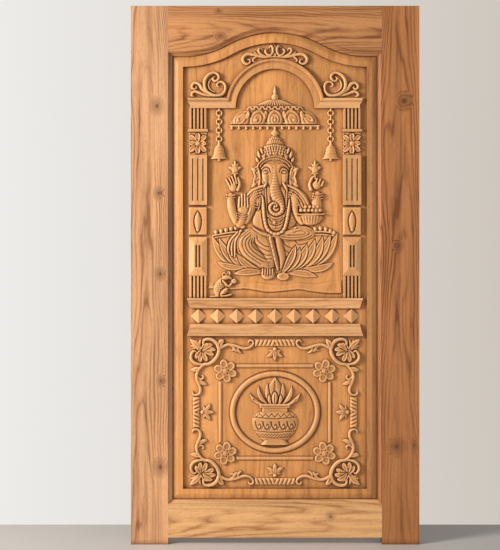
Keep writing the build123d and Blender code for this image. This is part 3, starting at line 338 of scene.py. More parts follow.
class Tree:
    """A material's or the world's nodes, with short calls for making and joining them."""

    def __init__(self, owner):
        owner.use_nodes = True
        self.nodes = owner.node_tree.nodes
        self.links = owner.node_tree.links

    def node(self, kind, values=(), **settings):
        made = self.nodes.new("ShaderNode" + kind)
        for key, value in settings.items():
            setattr(made, key, value)
        for key, value in dict(values).items():
            self.set(made.inputs[key], value)
        return made

    def set(self, socket, value):
        if isinstance(value, bpy.types.NodeSocket):
            self.links.new(value, socket)
        else:
            socket.default_value = value

    def math(self, operation, a, b=0.0, c=0.0):
        return self.node("Math", {0: a, 1: b, 2: c}, operation=operation).outputs[0]

    def vector(self, x, y, z):
        return self.node("CombineXYZ", {0: x, 1: y, 2: z}).outputs[0]

    def noise(self, vector, scale, detail=2.0, roughness=0.5):
        values = {"Vector": vector, "Scale": scale, "Detail": detail, "Roughness": roughness}
        return self.node("TexNoise", values).outputs["Fac"]

    def remap(self, value, low, high, to_low, to_high):
        values = {"Value": value, "From Min": low, "From Max": high, "To Min": to_low, "To Max": to_high}
        return self.node("MapRange", values, clamp=True).outputs["Result"]

    def mix(self, factor, a, b, blend="MIX"):
        made = self.node("Mix", {}, data_type="RGBA", blend_type=blend, clamp_factor=True)
        self.set(made.inputs[0], factor)
        self.set(made.inputs[6], a)
        self.set(made.inputs[7], b)
        return made.outputs[2]


PALE = (0.7, 0.34, 0.142, 1)
MID = (0.42, 0.168, 0.054, 1)
DEEP = (0.25, 0.088, 0.024, 1)
# A painted highlight, for the ridges of carvings
PAINTED_HIGHLIGHT = (0.96, 0.57, 0.28, 1)
KNOT = (0.11, 0.038, 0.013, 1)
# A painted shade, for hollows, creases and corners
PAINTED_SHADE = (0.1, 0.022, 0.003, 1)

# How far each pattern is drawn out along the grain, and its scale across it
RING_STRETCH, PORE_STRETCH, FIBRE_STRETCH = 0.16, 0.05, 0.02
BROAD_SCALE, WANDER_SCALE, BAND_SCALE, RING_SCALE = 4.5, 7.0, 11.0, 15.0
STREAK_SCALE, FIBRE_SCALE, PORE_SCALE = 55.0, 420.0, 900.0

# The dark of one growth ring, from early to late wood
RING_STOPS = ((0.3, 0.08), (0.7, 0.3), (0.9, 1.0))
RING_START, RING_END = 0.55, 0.6

# Metres: how far edges are eased, how high the grain stands, and how far the painted shade reaches from a
# corner
EASED = 0.0016
GRAIN_RISE = 0.0005
HOLLOW = 0.014
FRAME_HOLLOW = 0.024
PANEL_HOLLOW = 0.028
BLOCK_HOLLOW = 0.01
CARVING_HOLLOW = 0.008


def growth_rings(tree, over, along, slow, pitch, figure, heart):
    """A count of rings: even across a plain board, or arched round its heart."""
    if heart is None:
        rings = tree.math("DIVIDE", over, pitch)
    else:
        middle, width, length = heart
        wander = tree.math("MULTIPLY_ADD", tree.noise(slow, WANDER_SCALE, 2.0, 0.45), 0.12, -0.06)
        aside = tree.math("ADD", tree.math("SUBTRACT", over, middle), wander)
        aside = tree.math("DIVIDE", aside, width)
        rings = tree.math("MULTIPLY_ADD", aside, aside, tree.math("DIVIDE", along, length))
    return tree.math("MULTIPLY_ADD", tree.noise(slow, RING_SCALE, 3.0, 0.55), figure, rings)


def add_knots(tree, x, z, rings, knots):
    """The rings bent round each knot, and the dark of the knots."""
    dark = None
    for kx, kz, rx, rz in knots:
        dx = tree.math("DIVIDE", tree.math("SUBTRACT", x, kx), rx)
        dz = tree.math("DIVIDE", tree.math("SUBTRACT", z, kz), rz)
        squared = tree.math("ADD", tree.math("MULTIPLY", dx, dx), tree.math("MULTIPLY", dz, dz))
        away = tree.math("SQRT", squared)
        rings = tree.math("ADD", rings, tree.remap(away, 0.8, 3.6, 2.4, 0.0))
        core = tree.remap(away, 0.5, 1.35, 1.0, 0.0)
        halo = tree.remap(away, 1.2, 4.0, 0.55, 0.0)
        spot = tree.math("MAXIMUM", core, halo)
        dark = spot if dark is None else tree.math("MAXIMUM", dark, spot)
    return rings, dark


def ring_shade(tree, phase):
    """The dark of each ring by how far through it a point lies."""
    ramp = tree.node("ValToRGB", {0: phase})
    elements = ramp.color_ramp.elements
    elements[0].position, elements[0].color = 0.0, (RING_START,) * 3 + (1,)
    elements[1].position, elements[1].color = 1.0, (RING_END,) * 3 + (1,)
    for position, value in RING_STOPS:
        elements.new(position).color = (value, value, value, 1)
    return ramp.outputs[0]


def board_and_shade_tones(tree, x, boards):
    """A tone for each board of a glued-up panel, from its left edge on; a strip's tone can also be painted
    shade.
    """
    strips = tree.node("ValToRGB", {0: tree.remap(x, -LEAF_W / 2, LEAF_W / 2, 0.0, 1.0)})
    strips.color_ramp.interpolation = "CONSTANT"
    stops = strips.color_ramp.elements
    stops[0].color = (boards[0][1],) * 3 + (1,)
    stops.remove(stops[1])
    for edge, tone in boards[1:]:
        stops.new(edge / LEAF_W + 0.5).color = (tone, tone * 0.985, tone * 0.97, 1)
    return strips.outputs[0]


def teak(name, across, seed, pale=PALE, mid=MID, ring_pitch=0.03, figure=9.0, contrast=0.85, heart=None,
         knots=(), boards=(), soft_edges=True, hollow_reach=HOLLOW):
    """Planed teak: growth rings along the board, fibres, pores, knots, painted shade in the hollows and
    painted highlight on carved ridges.
    """
    material = bpy.data.materials.new(name)
    tree = Tree(material)
    x, y, z = tree.node("SeparateXYZ", {0: tree.node("TexCoord").outputs["Object"]}).outputs
    over, along = (x, z) if across == "X" else (z, x)
    shifted = tree.math("ADD", along, seed)
    slow = tree.vector(over, tree.math("ADD", y, seed), tree.math("MULTIPLY", shifted, RING_STRETCH))
    fine = tree.vector(over, y, tree.math("MULTIPLY", shifted, FIBRE_STRETCH))
    rings = growth_rings(tree, over, along, slow, ring_pitch, figure, heart)
    rings, dark_spot = add_knots(tree, x, z, rings, knots)
    phase = tree.math("FRACT", rings)
    bands = tree.remap(tree.noise(slow, BAND_SCALE, 2.0), 0.32, 0.66, 0.15, 1.0)
    line = tree.math("MULTIPLY", tree.math("MULTIPLY", ring_shade(tree, phase), bands), contrast)
    fibre = tree.noise(fine, FIBRE_SCALE, 3.0, 0.65)
    streak = tree.noise(fine, STREAK_SCALE, 3.0, 0.6)
    line = tree.math("MULTIPLY_ADD", tree.math("SUBTRACT", fibre, 0.5), 0.6, line)
    line = tree.math("MULTIPLY_ADD", tree.math("SUBTRACT", streak, 0.5), 1.5 * contrast, line)
    wood = tree.mix(line, pale, mid)
    pores = tree.noise(tree.vector(over, y, tree.math("MULTIPLY", shifted, PORE_STRETCH)), PORE_SCALE, 1.0)
    wood = tree.mix(tree.remap(pores, 0.6, 0.7, 0.0, 0.45), wood, DEEP)
    broad = tree.remap(tree.noise(slow, BROAD_SCALE, 2.0), 0.3, 0.7, 0.8, 1.11)
    wood = tree.mix(1.0, wood, tree.vector(broad, broad, broad), "MULTIPLY")
    if boards:
        wood = tree.mix(1.0, wood, board_and_shade_tones(tree, x, boards), "MULTIPLY")
    if dark_spot is not None:
        wood = tree.mix(tree.math("MULTIPLY", dark_spot, 0.85), wood, KNOT)
    # Painted highlight on carved ridges and painted shade in carved hollows, from the heights stored on the
    # mesh
    painted_highlight_and_shade = tree.node("Attribute", {}, attribute_name="painted_highlight_and_shade").outputs["Fac"]
    wood = tree.mix(tree.remap(painted_highlight_and_shade, 0.05, 0.8, 0.0, 0.6), wood, PAINTED_HIGHLIGHT)
    wood = tree.mix(tree.remap(painted_highlight_and_shade, -0.03, -0.5, 0.0, 0.88), wood, PAINTED_SHADE)
    # Painted shade near corners and in recesses, from an occlusion test round each point
    hollow = tree.node("AmbientOcclusion", {"Distance": hollow_reach}, samples=6).outputs["AO"]
    wood = tree.mix(tree.remap(hollow, 0.35, 0.93, 0.93, 0.0), wood, PAINTED_SHADE)
    shader = tree.nodes["Principled BSDF"]
    tree.set(shader.inputs["Base Color"], wood)
    tree.set(shader.inputs["Roughness"], tree.remap(fibre, 0.3, 0.7, 0.46, 0.62))
    shader.inputs["Specular IOR Level"].default_value = 0.4
    bump = {"Height": tree.math("ADD", fibre, tree.math("MULTIPLY", phase, 0.3)),
            "Strength": 0.22, "Distance": GRAIN_RISE}
    if soft_edges:
        bump["Normal"] = tree.node("Bevel", {"Radius": EASED}, samples=4).outputs[0]
    tree.set(shader.inputs["Normal"], tree.node("Bump", bump).outputs[0])
    return material


# Knots as (x, z, half width, half height)
LEFT_STILE_KNOTS = ((-0.468, 1.737, 0.009, 0.012), (-0.4615, 1.392, 0.007, 0.009),
                    (-0.454, 1.072, 0.007, 0.009), (-0.45, 0.648, 0.006, 0.008),
                    (-0.454, 0.307, 0.01, 0.013))
RIGHT_STILE_KNOTS = ((0.513, 1.757, 0.011, 0.012), (0.486, 1.183, 0.007, 0.008),
                     (0.482, 0.388, 0.012, 0.013), (0.5526, 0.394, 0.004, 0.009))
TOP_RAIL_KNOTS = ((-0.217, 2.016, 0.008, 0.006), (-0.224, 2.113, 0.006, 0.004))
BOTTOM_RAIL_KNOTS = ((0.22, 0.11, 0.007, 0.006),)

# The panel's boards, each as its left edge and its tone; the last strip, from the field's edge at 0.366 m, is
# darkened as painted shade
PANEL_BOARDS_AND_SHADE = ((-0.572, 1.0), (-0.204, 1.05), (-0.167, 0.96), (-0.143, 1.03), (0.0016, 0.97),
                (0.053, 1.04), (0.107, 0.95), (0.148, 1.02), (0.283, 0.9), (0.3165, 0.84), (0.366, 0.72))


def dress(nodes, name, across, seed, **wood):
    """One teak for all of the carried-over nodes named."""
    material = teak(name, across, seed, **wood)
    for node in nodes:
        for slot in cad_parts[node].material_slots:
            slot.material = material


def dress_frame():
    dress(["left_stile"], "Teak left stile", "X", 1.3, pale=(0.77, 0.4, 0.19, 1),
          mid=(0.33, 0.13, 0.045, 1), knots=LEFT_STILE_KNOTS, heart=(-0.52, 0.034, 0.42), figure=3.0,
          contrast=1.25, hollow_reach=FRAME_HOLLOW)
    # The right stile's colours are darker than the left's: partly its own wood's tone, partly painted shade
    # on the side away from the window
    dress(["right_stile"], "Teak right stile", "X", 4.7, pale=(0.56, 0.22, 0.07, 1),
          mid=(0.2, 0.06, 0.014, 1), knots=RIGHT_STILE_KNOTS, heart=(0.49, 0.036, 0.36), figure=3.0,
          contrast=1.25, hollow_reach=FRAME_HOLLOW)
    dress(["top_rail"], "Teak top rail", "Z", 8.1, pale=(0.66, 0.292, 0.106, 1),
          mid=(0.26, 0.084, 0.022, 1), knots=TOP_RAIL_KNOTS, heart=(2.03, 0.042, 0.2), figure=3.5,
          contrast=1.2, hollow_reach=FRAME_HOLLOW)
    dress(["bottom_rail"], "Teak bottom rail", "Z", 2.9, pale=(0.82, 0.45, 0.19, 1),
          mid=(0.42, 0.18, 0.06, 1), knots=BOTTOM_RAIL_KNOTS, heart=(0.1, 0.05, 0.3), figure=3.0,
          contrast=1.0, hollow_reach=FRAME_HOLLOW)
    dress(["carved_panel"], "Teak panel", "X", 6.4, pale=(0.79, 0.355, 0.112, 1), mid=(0.4, 0.138, 0.03, 1),
          boards=PANEL_BOARDS_AND_SHADE, ring_pitch=0.04, figure=5.0, contrast=0.6, hollow_reach=PANEL_HOLLOW)


def dress_mouldings():
    dress(["upper_string_course", "lower_string_course", "left_cornice", "right_cornice"], "Teak mouldings",
          "Z", 3.7, pale=(0.86, 0.45, 0.19, 1), mid=(0.38, 0.14, 0.038, 1), contrast=0.8, figure=5.0)
    dress(["diamond_studs"], "Teak studs", "X", 6.1, pale=(0.86, 0.43, 0.17, 1), contrast=0.3,
          soft_edges=False)
    dress(["arch_moulding"], "Teak arch", "X", 10.1, pale=(0.8, 0.37, 0.125, 1), contrast=0.6, figure=5.0)
    names = ("pilaster_foot", "fluted_block", "upper_reeds")
    dress([side + "_" + name for side in SIDES for name in names], "Teak pilasters", "X", 5.2,
          pale=(0.86, 0.43, 0.165, 1), contrast=0.5, figure=5.0, hollow_reach=BLOCK_HOLLOW)


# Scrolls, as runs from the ground above the arch, from the cornice's top and from the field's corner

CREST_STROKES = (
    ((22, 45, 2.5, 9), (16, 52, 4, 12), (10, 47, 5, 14), (8, 36, 5, 14), (9, 25, 5, 14), (17, 15, 5, 14),
     (28, 16, 5, 13), (36, 24, 4.5, 12), (38, 34, 4, 11), (32, 40, 2.5, 9)),
    ((36, 11, 4, 9), (49, 15, 5, 11), (60, 22, 5, 12), (66, 33, 5, 12), (62, 42, 4, 11), (54, 42, 3, 9),
     (51, 34, 2, 7)),
    ((52, 12, 4, 8), (66, 17, 4.5, 9), (78, 24, 4, 9), (86, 32, 1, 6)),
    ((4, 9, 4, 8), (36, 8, 5, 9), (66, 12, 6, 11), (90, 18, 6.5, 13), (108, 19, 6.5, 14), (122, 11, 6, 14),
     (128, -2, 6, 14), (122, -15, 5.5, 13), (109, -20, 5, 12), (99, -13, 4, 11), (101, -3, 3, 9),
     (109, -1, 2, 8)),
    ((74, 9, 4, 8), (85, 1, 4, 9), (88, -7, 3.5, 8), (82, -12, 2.5, 7), (77, -7, 2, 6)),
)
SPANDREL_STROKES = (
    ((-239, 86, 2, 8), (-246, 82, 3.5, 9), (-246, 74, 4, 11), (-239, 69, 4.5, 12), (-229, 72, 5, 13),
     (-223, 83, 5, 14), (-228, 96, 5, 14), (-243, 102, 5.5, 14), (-262, 95, 6, 15), (-276, 79, 6.5, 15),
     (-281, 59, 7, 15), (-279, 41, 7, 15), (-269, 25, 7, 15), (-251, 14, 7, 15)),
    ((-262, 19, 6, 14), (-250, 13.5, 7, 15), (-231, 10, 6.5, 15), (-213, 14, 6, 14), (-201, 26, 5.5, 14),
     (-197, 41, 5, 13), (-200, 56, 5, 13), (-210, 65, 5, 12), (-222, 65, 4.5, 11), (-230, 57, 4, 10),
     (-228, 48, 3, 9), (-220, 47, 2, 8)),
    ((-250, 80, 2, 6), (-261, 68, 3, 8), (-265, 54, 3.5, 8), (-261, 39, 3.5, 8), (-250, 29, 3, 7),
     (-238, 25, 2, 6)),
    ((-262, 14, 4, 9), (-277, 24, 6, 12), (-289, 38, 7, 13), (-298, 52, 7, 14), (-309, 60, 6.5, 14),
     (-322, 60, 6, 14), (-330, 50, 5.5, 13), (-328, 40, 5, 12), (-318, 37, 4, 11), (-312, 44, 3, 9),
     (-317, 50, 2, 8)),
    ((-258, 9, 3, 8), (-282, 15, 5, 11), (-303, 23, 6, 12), (-318, 27, 6, 12), (-329, 21, 5.5, 12),
     (-331, 12, 5, 11), (-324, 8, 3.5, 9)),
)
CORNER_STROKES = (
    ((99, 35, 2.5, 8), (90, 40, 4, 10), (81, 32, 5, 12), (83, 19, 5.5, 13), (95, 13, 6, 14),
     (112, 14, 6.5, 14), (128, 23, 7, 14), (139, 38, 7, 14), (143, 56, 7, 14), (139, 74, 7, 14),
     (130, 90, 7, 14), (117, 103, 7, 13), (102, 111, 6.5, 13), (86, 113, 6, 12), (74, 121, 5, 11)),
    ((55, 78, 3, 8), (54, 66, 3.5, 10), (44, 60, 4.5, 12), (34, 70, 5, 12), (31, 85, 5.5, 13),
     (36, 98, 6, 13), (48, 108, 6, 13), (63, 112, 5.5, 12), (78, 114, 5, 11)),
    ((64, 58, 4, 9), (53, 49, 4, 9), (38, 51, 2, 7)), ((64, 59, 4, 9), (75, 48, 4.5, 10), (82, 34, 4, 10)),
    ((141, 56, 5, 12), (153, 46, 6, 12), (168, 38, 6, 12), (185, 35, 5.5, 11), (203, 38, 5.5, 11),
     (218, 43, 6, 11), (233, 48, 6, 11), (248, 50, 5.5, 11), (263, 47, 5, 11), (274, 39, 4.5, 11),
     (280, 29, 4.5, 11), (276, 20, 4.5, 11), (266, 18, 4, 10), (260, 25, 3, 9)),
    ((184, 37, 4, 9), (196, 43, 4, 9), (201, 52, 4, 9), (196, 59, 3, 8), (189, 55, 2, 7)),
    ((76, 119, 5, 11), (63, 133, 6, 12), (55, 150, 6, 12), (54, 169, 6, 12), (60, 187, 6, 12),
     (67, 203, 6, 11), (69, 219, 5.5, 11), (63, 231, 5, 11), (51, 236, 4.5, 11), (40, 232, 4, 10),
     (37, 223, 3, 9)),
    ((58, 163, 4, 9), (67, 172, 4.5, 9), (78, 170, 4, 9), (81, 161, 3.5, 8), (75, 157, 2, 7)),
)

# Leaves in the corners, as foot, tip, half width, height and bend
CORNER_LEAVES = (
    ((68, 47), (27, 13), 13, 12, 0.0), ((62, 50), (28, 40), 7, 9, 0.1), ((64, 44), (73, 13), 7, 10, -0.1),
    ((60, 42), (52, 14), 6, 9, 0.0), ((143, 56), (163, 13), 15, 13, -0.12),
    ((201, 40), (217, 66), 7, 10, 0.1), ((216, 42), (238, 70), 6, 10, 0.2),
    ((66, 127), (28, 134), 11, 12, -0.1), ((60, 176), (99, 192), 10, 11, 0.1),
)

# A fan of petals inside each corner's loop, drawn from one foot
FAN_FOOT = (80, 59)
FAN_TIPS = ((50, 92), (68, 107), (95, 104), (124, 78), (132, 56), (119, 35))
CORNER_BOSS = (93, 36, 10, 12)

SCROLL_WIDER = 1.15
CORNER_WIDER = 1.22


def vine(relief, rows, wider):
    """A scroll stroke with a line cut along its crest."""
    relief.stroke([(x, y, half * wider, height) for x, y, half, height in rows], swelled)
    relief.stroke([(x, y, max(half * 0.2, 1.0), height * 0.2) for x, y, half, height in rows], folded, "cut")


def carve_crest(material):
    relief = Relief(-138, 138, -30, 64, origin=(0, CREST_Z))
    for rows in CREST_STROKES:
        vine(relief, rows, SCROLL_WIDER)
        vine(relief, mirrored(rows), SCROLL_WIDER)
    relief.leaf((0, 6), (0, 31), 7, 11)
    relief.leaf((0, 24), (0, 60), 6, 10)
    relief.piece("crest_carving", material, "crest_scroll")


def carve_spandrels(material):
    relief = Relief(-342, -184, 0, 112, origin=(0, CORNICE_TOP_Z))
    for rows in SPANDREL_STROKES:
        vine(relief, rows, SCROLL_WIDER)
    relief.pieces(SIDES, "spandrel_carving", material, "spandrel_scroll")


def carve_corners(material):
    relief = Relief(20, 290, 0, 244, origin=(-FIELD_HALF_W, FIELD_Z))
    for rows in CORNER_STROKES:
        vine(relief, rows, CORNER_WIDER)
    for leaf in CORNER_LEAVES:
        relief.leaf(*leaf)
    for k, tip in enumerate(FAN_TIPS):
        relief.leaf(FAN_FOOT, tip, 9.5, 13, 0.05 * (2.5 - k), scooped, widest=0.62, moat=4)
    x, y, radius, height = CORNER_BOSS
    relief.dome(x, y, radius, radius, height)
    relief.dome(x, y, radius * 0.4, radius * 0.4, 3, how="cut")
    relief.pieces(CORNERS, "corner_carving", material, "corner_scroll")


# Rosettes, ropes and buds, placed from the field's middle

ROSETTE_X, ROSETTE_BELOW = -197.0, 164.0
ROSETTE_TURN = 18.0
PETAL_OUT = 28.5
ROPE_BELOW, ROPE_BESIDE = 275.75, 313.5
ROPE_HALF_W, ROPE_RISE = 14.5, 9.5
ROPE_LEAN = 0.42
BUD_BELOW, BUD_BESIDE = 250.75, 288.5


def carve_rosettes(material):
    """Six cupped petals round a ringed heart."""
    relief = Relief(-50, 50, -50, 50, FINE_PITCH, (ROSETTE_X, FIELD_MIDDLE_Z - ROSETTE_BELOW))
    for i in range(6):
        turn = math.radians(ROSETTE_TURN + 60 * i)
        relief.dome(*around(PETAL_OUT, turn), 19.0, 16.5, 9.5, scooped, turn=math.degrees(turn))
        for spread in (-0.3, 0.3):
            near, far = around(20, turn + spread * 0.6), around(38, turn + spread)
            relief.stroke([(*near, 1.1, 1.3), (*far, 0.9, 0.6)], folded, "cut")
    relief.dome(0, 0, 15, 15, 13)
    relief.dome(0, 0, 7, 7, 2, how="cut")
    relief.dome(0, 0, 4, 4, 2.5, how="add")
    relief.pieces(CORNERS, "rosette_carving", material, "rosette")


def twist(relief, over, along, reach, strands):
    """Strands that lean away from the middle of the strip on both sides."""
    u = np.abs(over) / ROPE_HALF_W
    lean = np.abs(along) - over * ROPE_LEAN
    wave = np.abs(np.sin(math.pi * lean * strands / reach)) ** 0.7
    body = ROPE_RISE * np.clip(1 - u ** 3, 0, 1) ** 0.5 * (0.42 + 0.58 * wave)
    relief.put(EVERYWHERE, (u < 1) & (np.abs(along) < reach), body, "raise")


def carve_ropes(material):
    z = FIELD_MIDDLE_Z - ROPE_BELOW
    level = Relief(-84, 84, -18, 18, FINE_PITCH, (0, z))
    twist(level, level.y[:, None] - z, level.x[None, :], 80.0, 5)
    level.pieces(ENDS, "rope_carving", material, "rope")
    upright = Relief(-18, 18, -64, 64, FINE_PITCH, (-ROPE_BESIDE, FIELD_MIDDLE_Z))
    twist(upright, upright.x[None, :] + ROPE_BESIDE, upright.y[:, None] - FIELD_MIDDLE_Z, 60.75, 4)
    upright.pieces(SIDES, "rope_carving", material, "rope")


def bud(relief, dx, dy):
    """A ball with a long leaf and two side leaves that point along (dx, dy)."""
    def at(forward, side):
        return dx * forward - dy * side, dy * forward + dx * side
    relief.leaf(at(5, 0), at(48, 0), 10, 11)
    for side in (-1, 1):
        relief.leaf(at(5, side * 3), at(31, side * 34), 9, 10, -0.1 * side)
        relief.leaf(at(4, side * 6), at(6, side * 26), 5, 8, -0.1 * side)
    relief.dome(0, 0, 9, 9, 12)


def carve_buds(material):
    standing = Relief(-40, 40, -12, 52, FINE_PITCH, (0, FIELD_MIDDLE_Z - BUD_BELOW))
    bud(standing, 0, 1)
    standing.pieces(ENDS, "bud_carving", material, "bud")
    lying = Relief(-12, 52, -40, 40, FINE_PITCH, (-BUD_BESIDE, FIELD_MIDDLE_Z))
    bud(lying, 1, 0)
    lying.pieces(SIDES, "bud_carving", material, "bud")


# The panel's own low forms, rounded over: the oval ring, the thin lines and the bank of earth

RING_HALF_W, RING_HALF_H = 169.0, 152.5
RING_BAND, RING_RISE = 11.5, 8.2
RING_STEPS = 121
LINE_X, LINE_REACH = 218.0, 116.0
LINE_Z, LINE_ACROSS = 184.0, 149.0
LINE_HALF, LINE_RISE = 7.0, 4.6
FOOT_W, FOOT_RISE = 6.0, 0.35

# The bank under the figure, from the niche's floor: where it drops off, and where it dies out
EARTH_FOOT = ((-264, 40), (-212, 37), (-165, 35), (-120, 38), (-75, 32), (-25, 25), (35, 29), (95, 35),
              (150, 27), (210, 20), (264, 20))
EARTH_TOP = ((-264, 50), (-217, 52), (-170, 54), (-125, 56), (-78, 61), (-37, 58), (10, 51), (50, 53),
             (91, 60), (131, 57), (165, 55), (212, 63), (264, 72))
EARTH_HALF_W = 263.0
EDGE_UP, EDGE_HALF, EDGE_RISE = 2.5, 3.4, 4.9
BANK_RISE = 4.6


def on_aprons(relief, forms, section, even):
    """Forms that stand on thin aprons, which carry the painted shade round their feet."""
    for rows in forms:
        relief.stroke([(x, y, half + FOOT_W, FOOT_RISE) for x, y, half, _ in rows], flat, even=even)
    for rows in forms:
        relief.stroke(rows, section, even=even)


def carve_earth(material):
    relief = Relief(-EARTH_HALF_W, EARTH_HALF_W, 4, 90, origin=(0, NICHE_Z))
    on_aprons(relief, [[(x, y + EDGE_UP, EDGE_HALF, EDGE_RISE) for x, y in EARTH_FOOT]], rounded, False)
    levels = []
    for course in (EARTH_FOOT, EARTH_TOP):
        run = smooth([(x, y + NICHE_Z, 1.0, 0.0) for x, y in course])
        levels.append(np.interp(relief.x, run[:, 0], run[:, 1])[None, :])
    foot, top = levels
    share = (relief.y[:, None] - foot) / (top - foot)
    relief.put(EVERYWHERE, (share > 0.1) & (share < 1), BANK_RISE * (1 - 0.5 * share), "raise")
    relief.piece("earth_edge", material, None, slot="panel_wood")


def carve_mouldings(material):
    relief = Relief(-236, 236, -200, 200, origin=(0, FIELD_MIDDLE_Z))
    turns = np.linspace(0, 2 * math.pi, RING_STEPS)
    forms = [[(RING_HALF_W * math.cos(a), RING_HALF_H * math.sin(a), RING_BAND, RING_RISE) for a in turns]]
    for side in (-1, 1):
        x, y = side * LINE_X, side * LINE_Z
        forms.append([(x, -LINE_REACH, LINE_HALF, LINE_RISE), (x, LINE_REACH, LINE_HALF, LINE_RISE)])
        forms.append([(-LINE_ACROSS, y, LINE_HALF, LINE_RISE), (LINE_ACROSS, y, LINE_HALF, LINE_RISE)])
    on_aprons(relief, forms, swelled, True)
    relief.piece("panel_mouldings", material, None, slot="panel_wood")


# The water pot, drawn from the field's middle

POT_LINES = (-24.75, -78.75, -102)
POT_BODY = ((-112, 52, 12), (-92, 72, 15), (-70, 86, 17), (-46, 93, 18), (-26, 91, 17), (-8, 80, 15),
            (4, 56, 12))
POT_FOOT = ((-129.5, 58, 13), (-122, 52, 13), (-110, 44, 13))
COCONUT = ((30, 36, 9), (62, 38, 10), (84, 36, 10), (104, 27, 10), (124, 14, 9), (140, 0.5, 6))
POT_LEAVES = (
    ((15, 30), (30, 116), 10, 10, -0.08), ((30, 32), (66, 106), 9, 12, -0.14),
    ((46, 32), (100, 76), 8, 12.5, -0.14), ((40, 30), (84, 50), 6, 12.5, -0.1),
    ((14, 30), (22, 72), 8, 15, -0.1),
)
POT_CURL = ((-13, -36, 2, 3), (-10, -56, 2.6, 3.6), (0, -68, 2.8, 3.8), (9, -58, 2.6, 3.6),
            (4, -46, 2.2, 3.2), (-3, -53, 1.8, 2.6))
POT_HOOK = ((9, -70, 2, 3), (17, -52, 2.4, 3.4), (14, -36, 1.8, 2.8))
ZIGZAGS = 14
ZIGZAG_HALF_W = 84


def carve_pot(material):
    relief = Relief(-104, 104, -132, 144, POT_PITCH, (0, FIELD_MIDDLE_Z))
    relief.tapered(COCONUT, creased)
    relief.side_leaves(POT_LEAVES, widest=0.5, moat=4)
    relief.leaf((-2, 30), (0, 84), 14, 17, widest=0.5, moat=4)
    for side in (-1, 1):
        for k in range(4):
            out = side * (24 - 4 * k)
            relief.stroke([(0, 92 + 9 * k, 1.4, 2.2), (out, 104 + 9 * k, 1.2, 1.8)], folded, "cut")
    relief.tapered(POT_FOOT, flat)
    relief.tapered(POT_BODY, swelled)
    relief.block(-50, 50, 0, 20, 11)
    relief.block(-60, 60, 17, 26, 13)
    relief.block(-62, 62, 25, 34, 15)
    courses = [[(x, y + abs(x) / 18) for x in (-90, -45, 0, 45, 90)] for y in POT_LINES]
    relief.lines(courses, 2.0, 3.0, rounded)
    for i in range(ZIGZAGS):
        xa, xb = (ZIGZAG_HALF_W * (2 * end / ZIGZAGS - 1) for end in (i, i + 1))
        low, high = (-19, -5) if i % 2 else (-5, -19)
        relief.lines([((xa, low), (xb, high))], 2.0, 3.2)
        relief.lines([((xa, -98), (xb, -86)), ((xa, -86), (xb, -98))], 1.7, 2.4)
    for x in (-64, -32, 0, 32, 64):
        for rows in (POT_CURL, POT_HOOK):
            relief.stroke([(x + a, b, half, height) for a, b, half, height in rows], rounded, "cut")
    relief.piece("pot_carving", material, "kalash_pot")


# Pilaster blocks

def carve_lens_blocks(material):
    """A plain block with a pointed lens that stands in a sunk outline."""
    relief = Relief(-38, 38, -56, 56, LENS_PITCH, (PILASTER_X, LENS_MIDDLE_Z))
    relief.block(-36.5, 36.5, -55, 55, 12, edge=3)
    relief.leaf((0, -44), (0, 44), 19, 3.5, section=flat, how="cut", widest=0.5)
    relief.leaf((0, -37), (0, 37), 13.5, 8.0, section=rounded, how="add", widest=0.5)
    relief.pieces(SIDES, "lens_carving", material, "lens_block")


def carve_flower_blocks(material):
    """Eight scooped petals, long at the corners, on a sunk square."""
    relief = Relief(-36, 36, -45, 45, FINE_PITCH, (PILASTER_X, FLOWER_MIDDLE_Z))
    relief.block(-35.5, 35.5, -45, 45, 5)
    relief.block(-32, 32, -41.5, 41.5, 2.6, how="cut")
    for k in range(8):
        turn = math.radians(45 * k)
        c, s = around(1, turn)
        reach = (33 * abs(c) + 42 * abs(s)) if k % 2 else (32 if abs(c) > 0.5 else 42)
        tip = around(min(reach, 46), turn)
        relief.leaf(around(7, turn), tip, 10.5, 12 if k % 2 else 14, section=scooped, widest=0.6, moat=4)
    relief.dome(0, 0, 12, 12, 14)
    relief.dome(0, 0, 6, 6, 1.5, how="cut")
    relief.pieces(SIDES, "flower_carving", material, "flower_block")


# Canopy and bells, drawn from the arch's spring line

TASSELS = 13
TASSEL_PITCH = 28.6
FLUTES = 15
WAVE_PITCH = 12.5
FINIAL = ((30, 10, 10), (38, 15, 13), (50, 13, 14), (58, 7, 12), (66, 8, 12), (78, 5, 11), (91, 0.6, 8))
DOME_TOP = ((10, 78, 9), (20, 66, 11), (28, 48, 11), (34, 30, 10))
DOME_BAND = ((-12, 120, 9), (-2, 112, 10), (9, 102, 10))
DOME_SKIRT = ((-63, 178, 8), (-52, 175, 8), (-40, 164, 8.5), (-26, 146, 9), (-11, 120, 9))
CHAIN_PITCH = 34.3
BELL = ((-202, 34, 13), (-197, 31, 15), (-190, 26, 15.5), (-178, 22, 16), (-165, 20, 15.5), (-156, 17, 14),
        (-149, 11, 13), (-143, 7, 11), (-134, 5, 9))
BELL_RINGS = ((-200, 33), (-188, 25), (-176, 22), (-164, 20), (-153, 15))


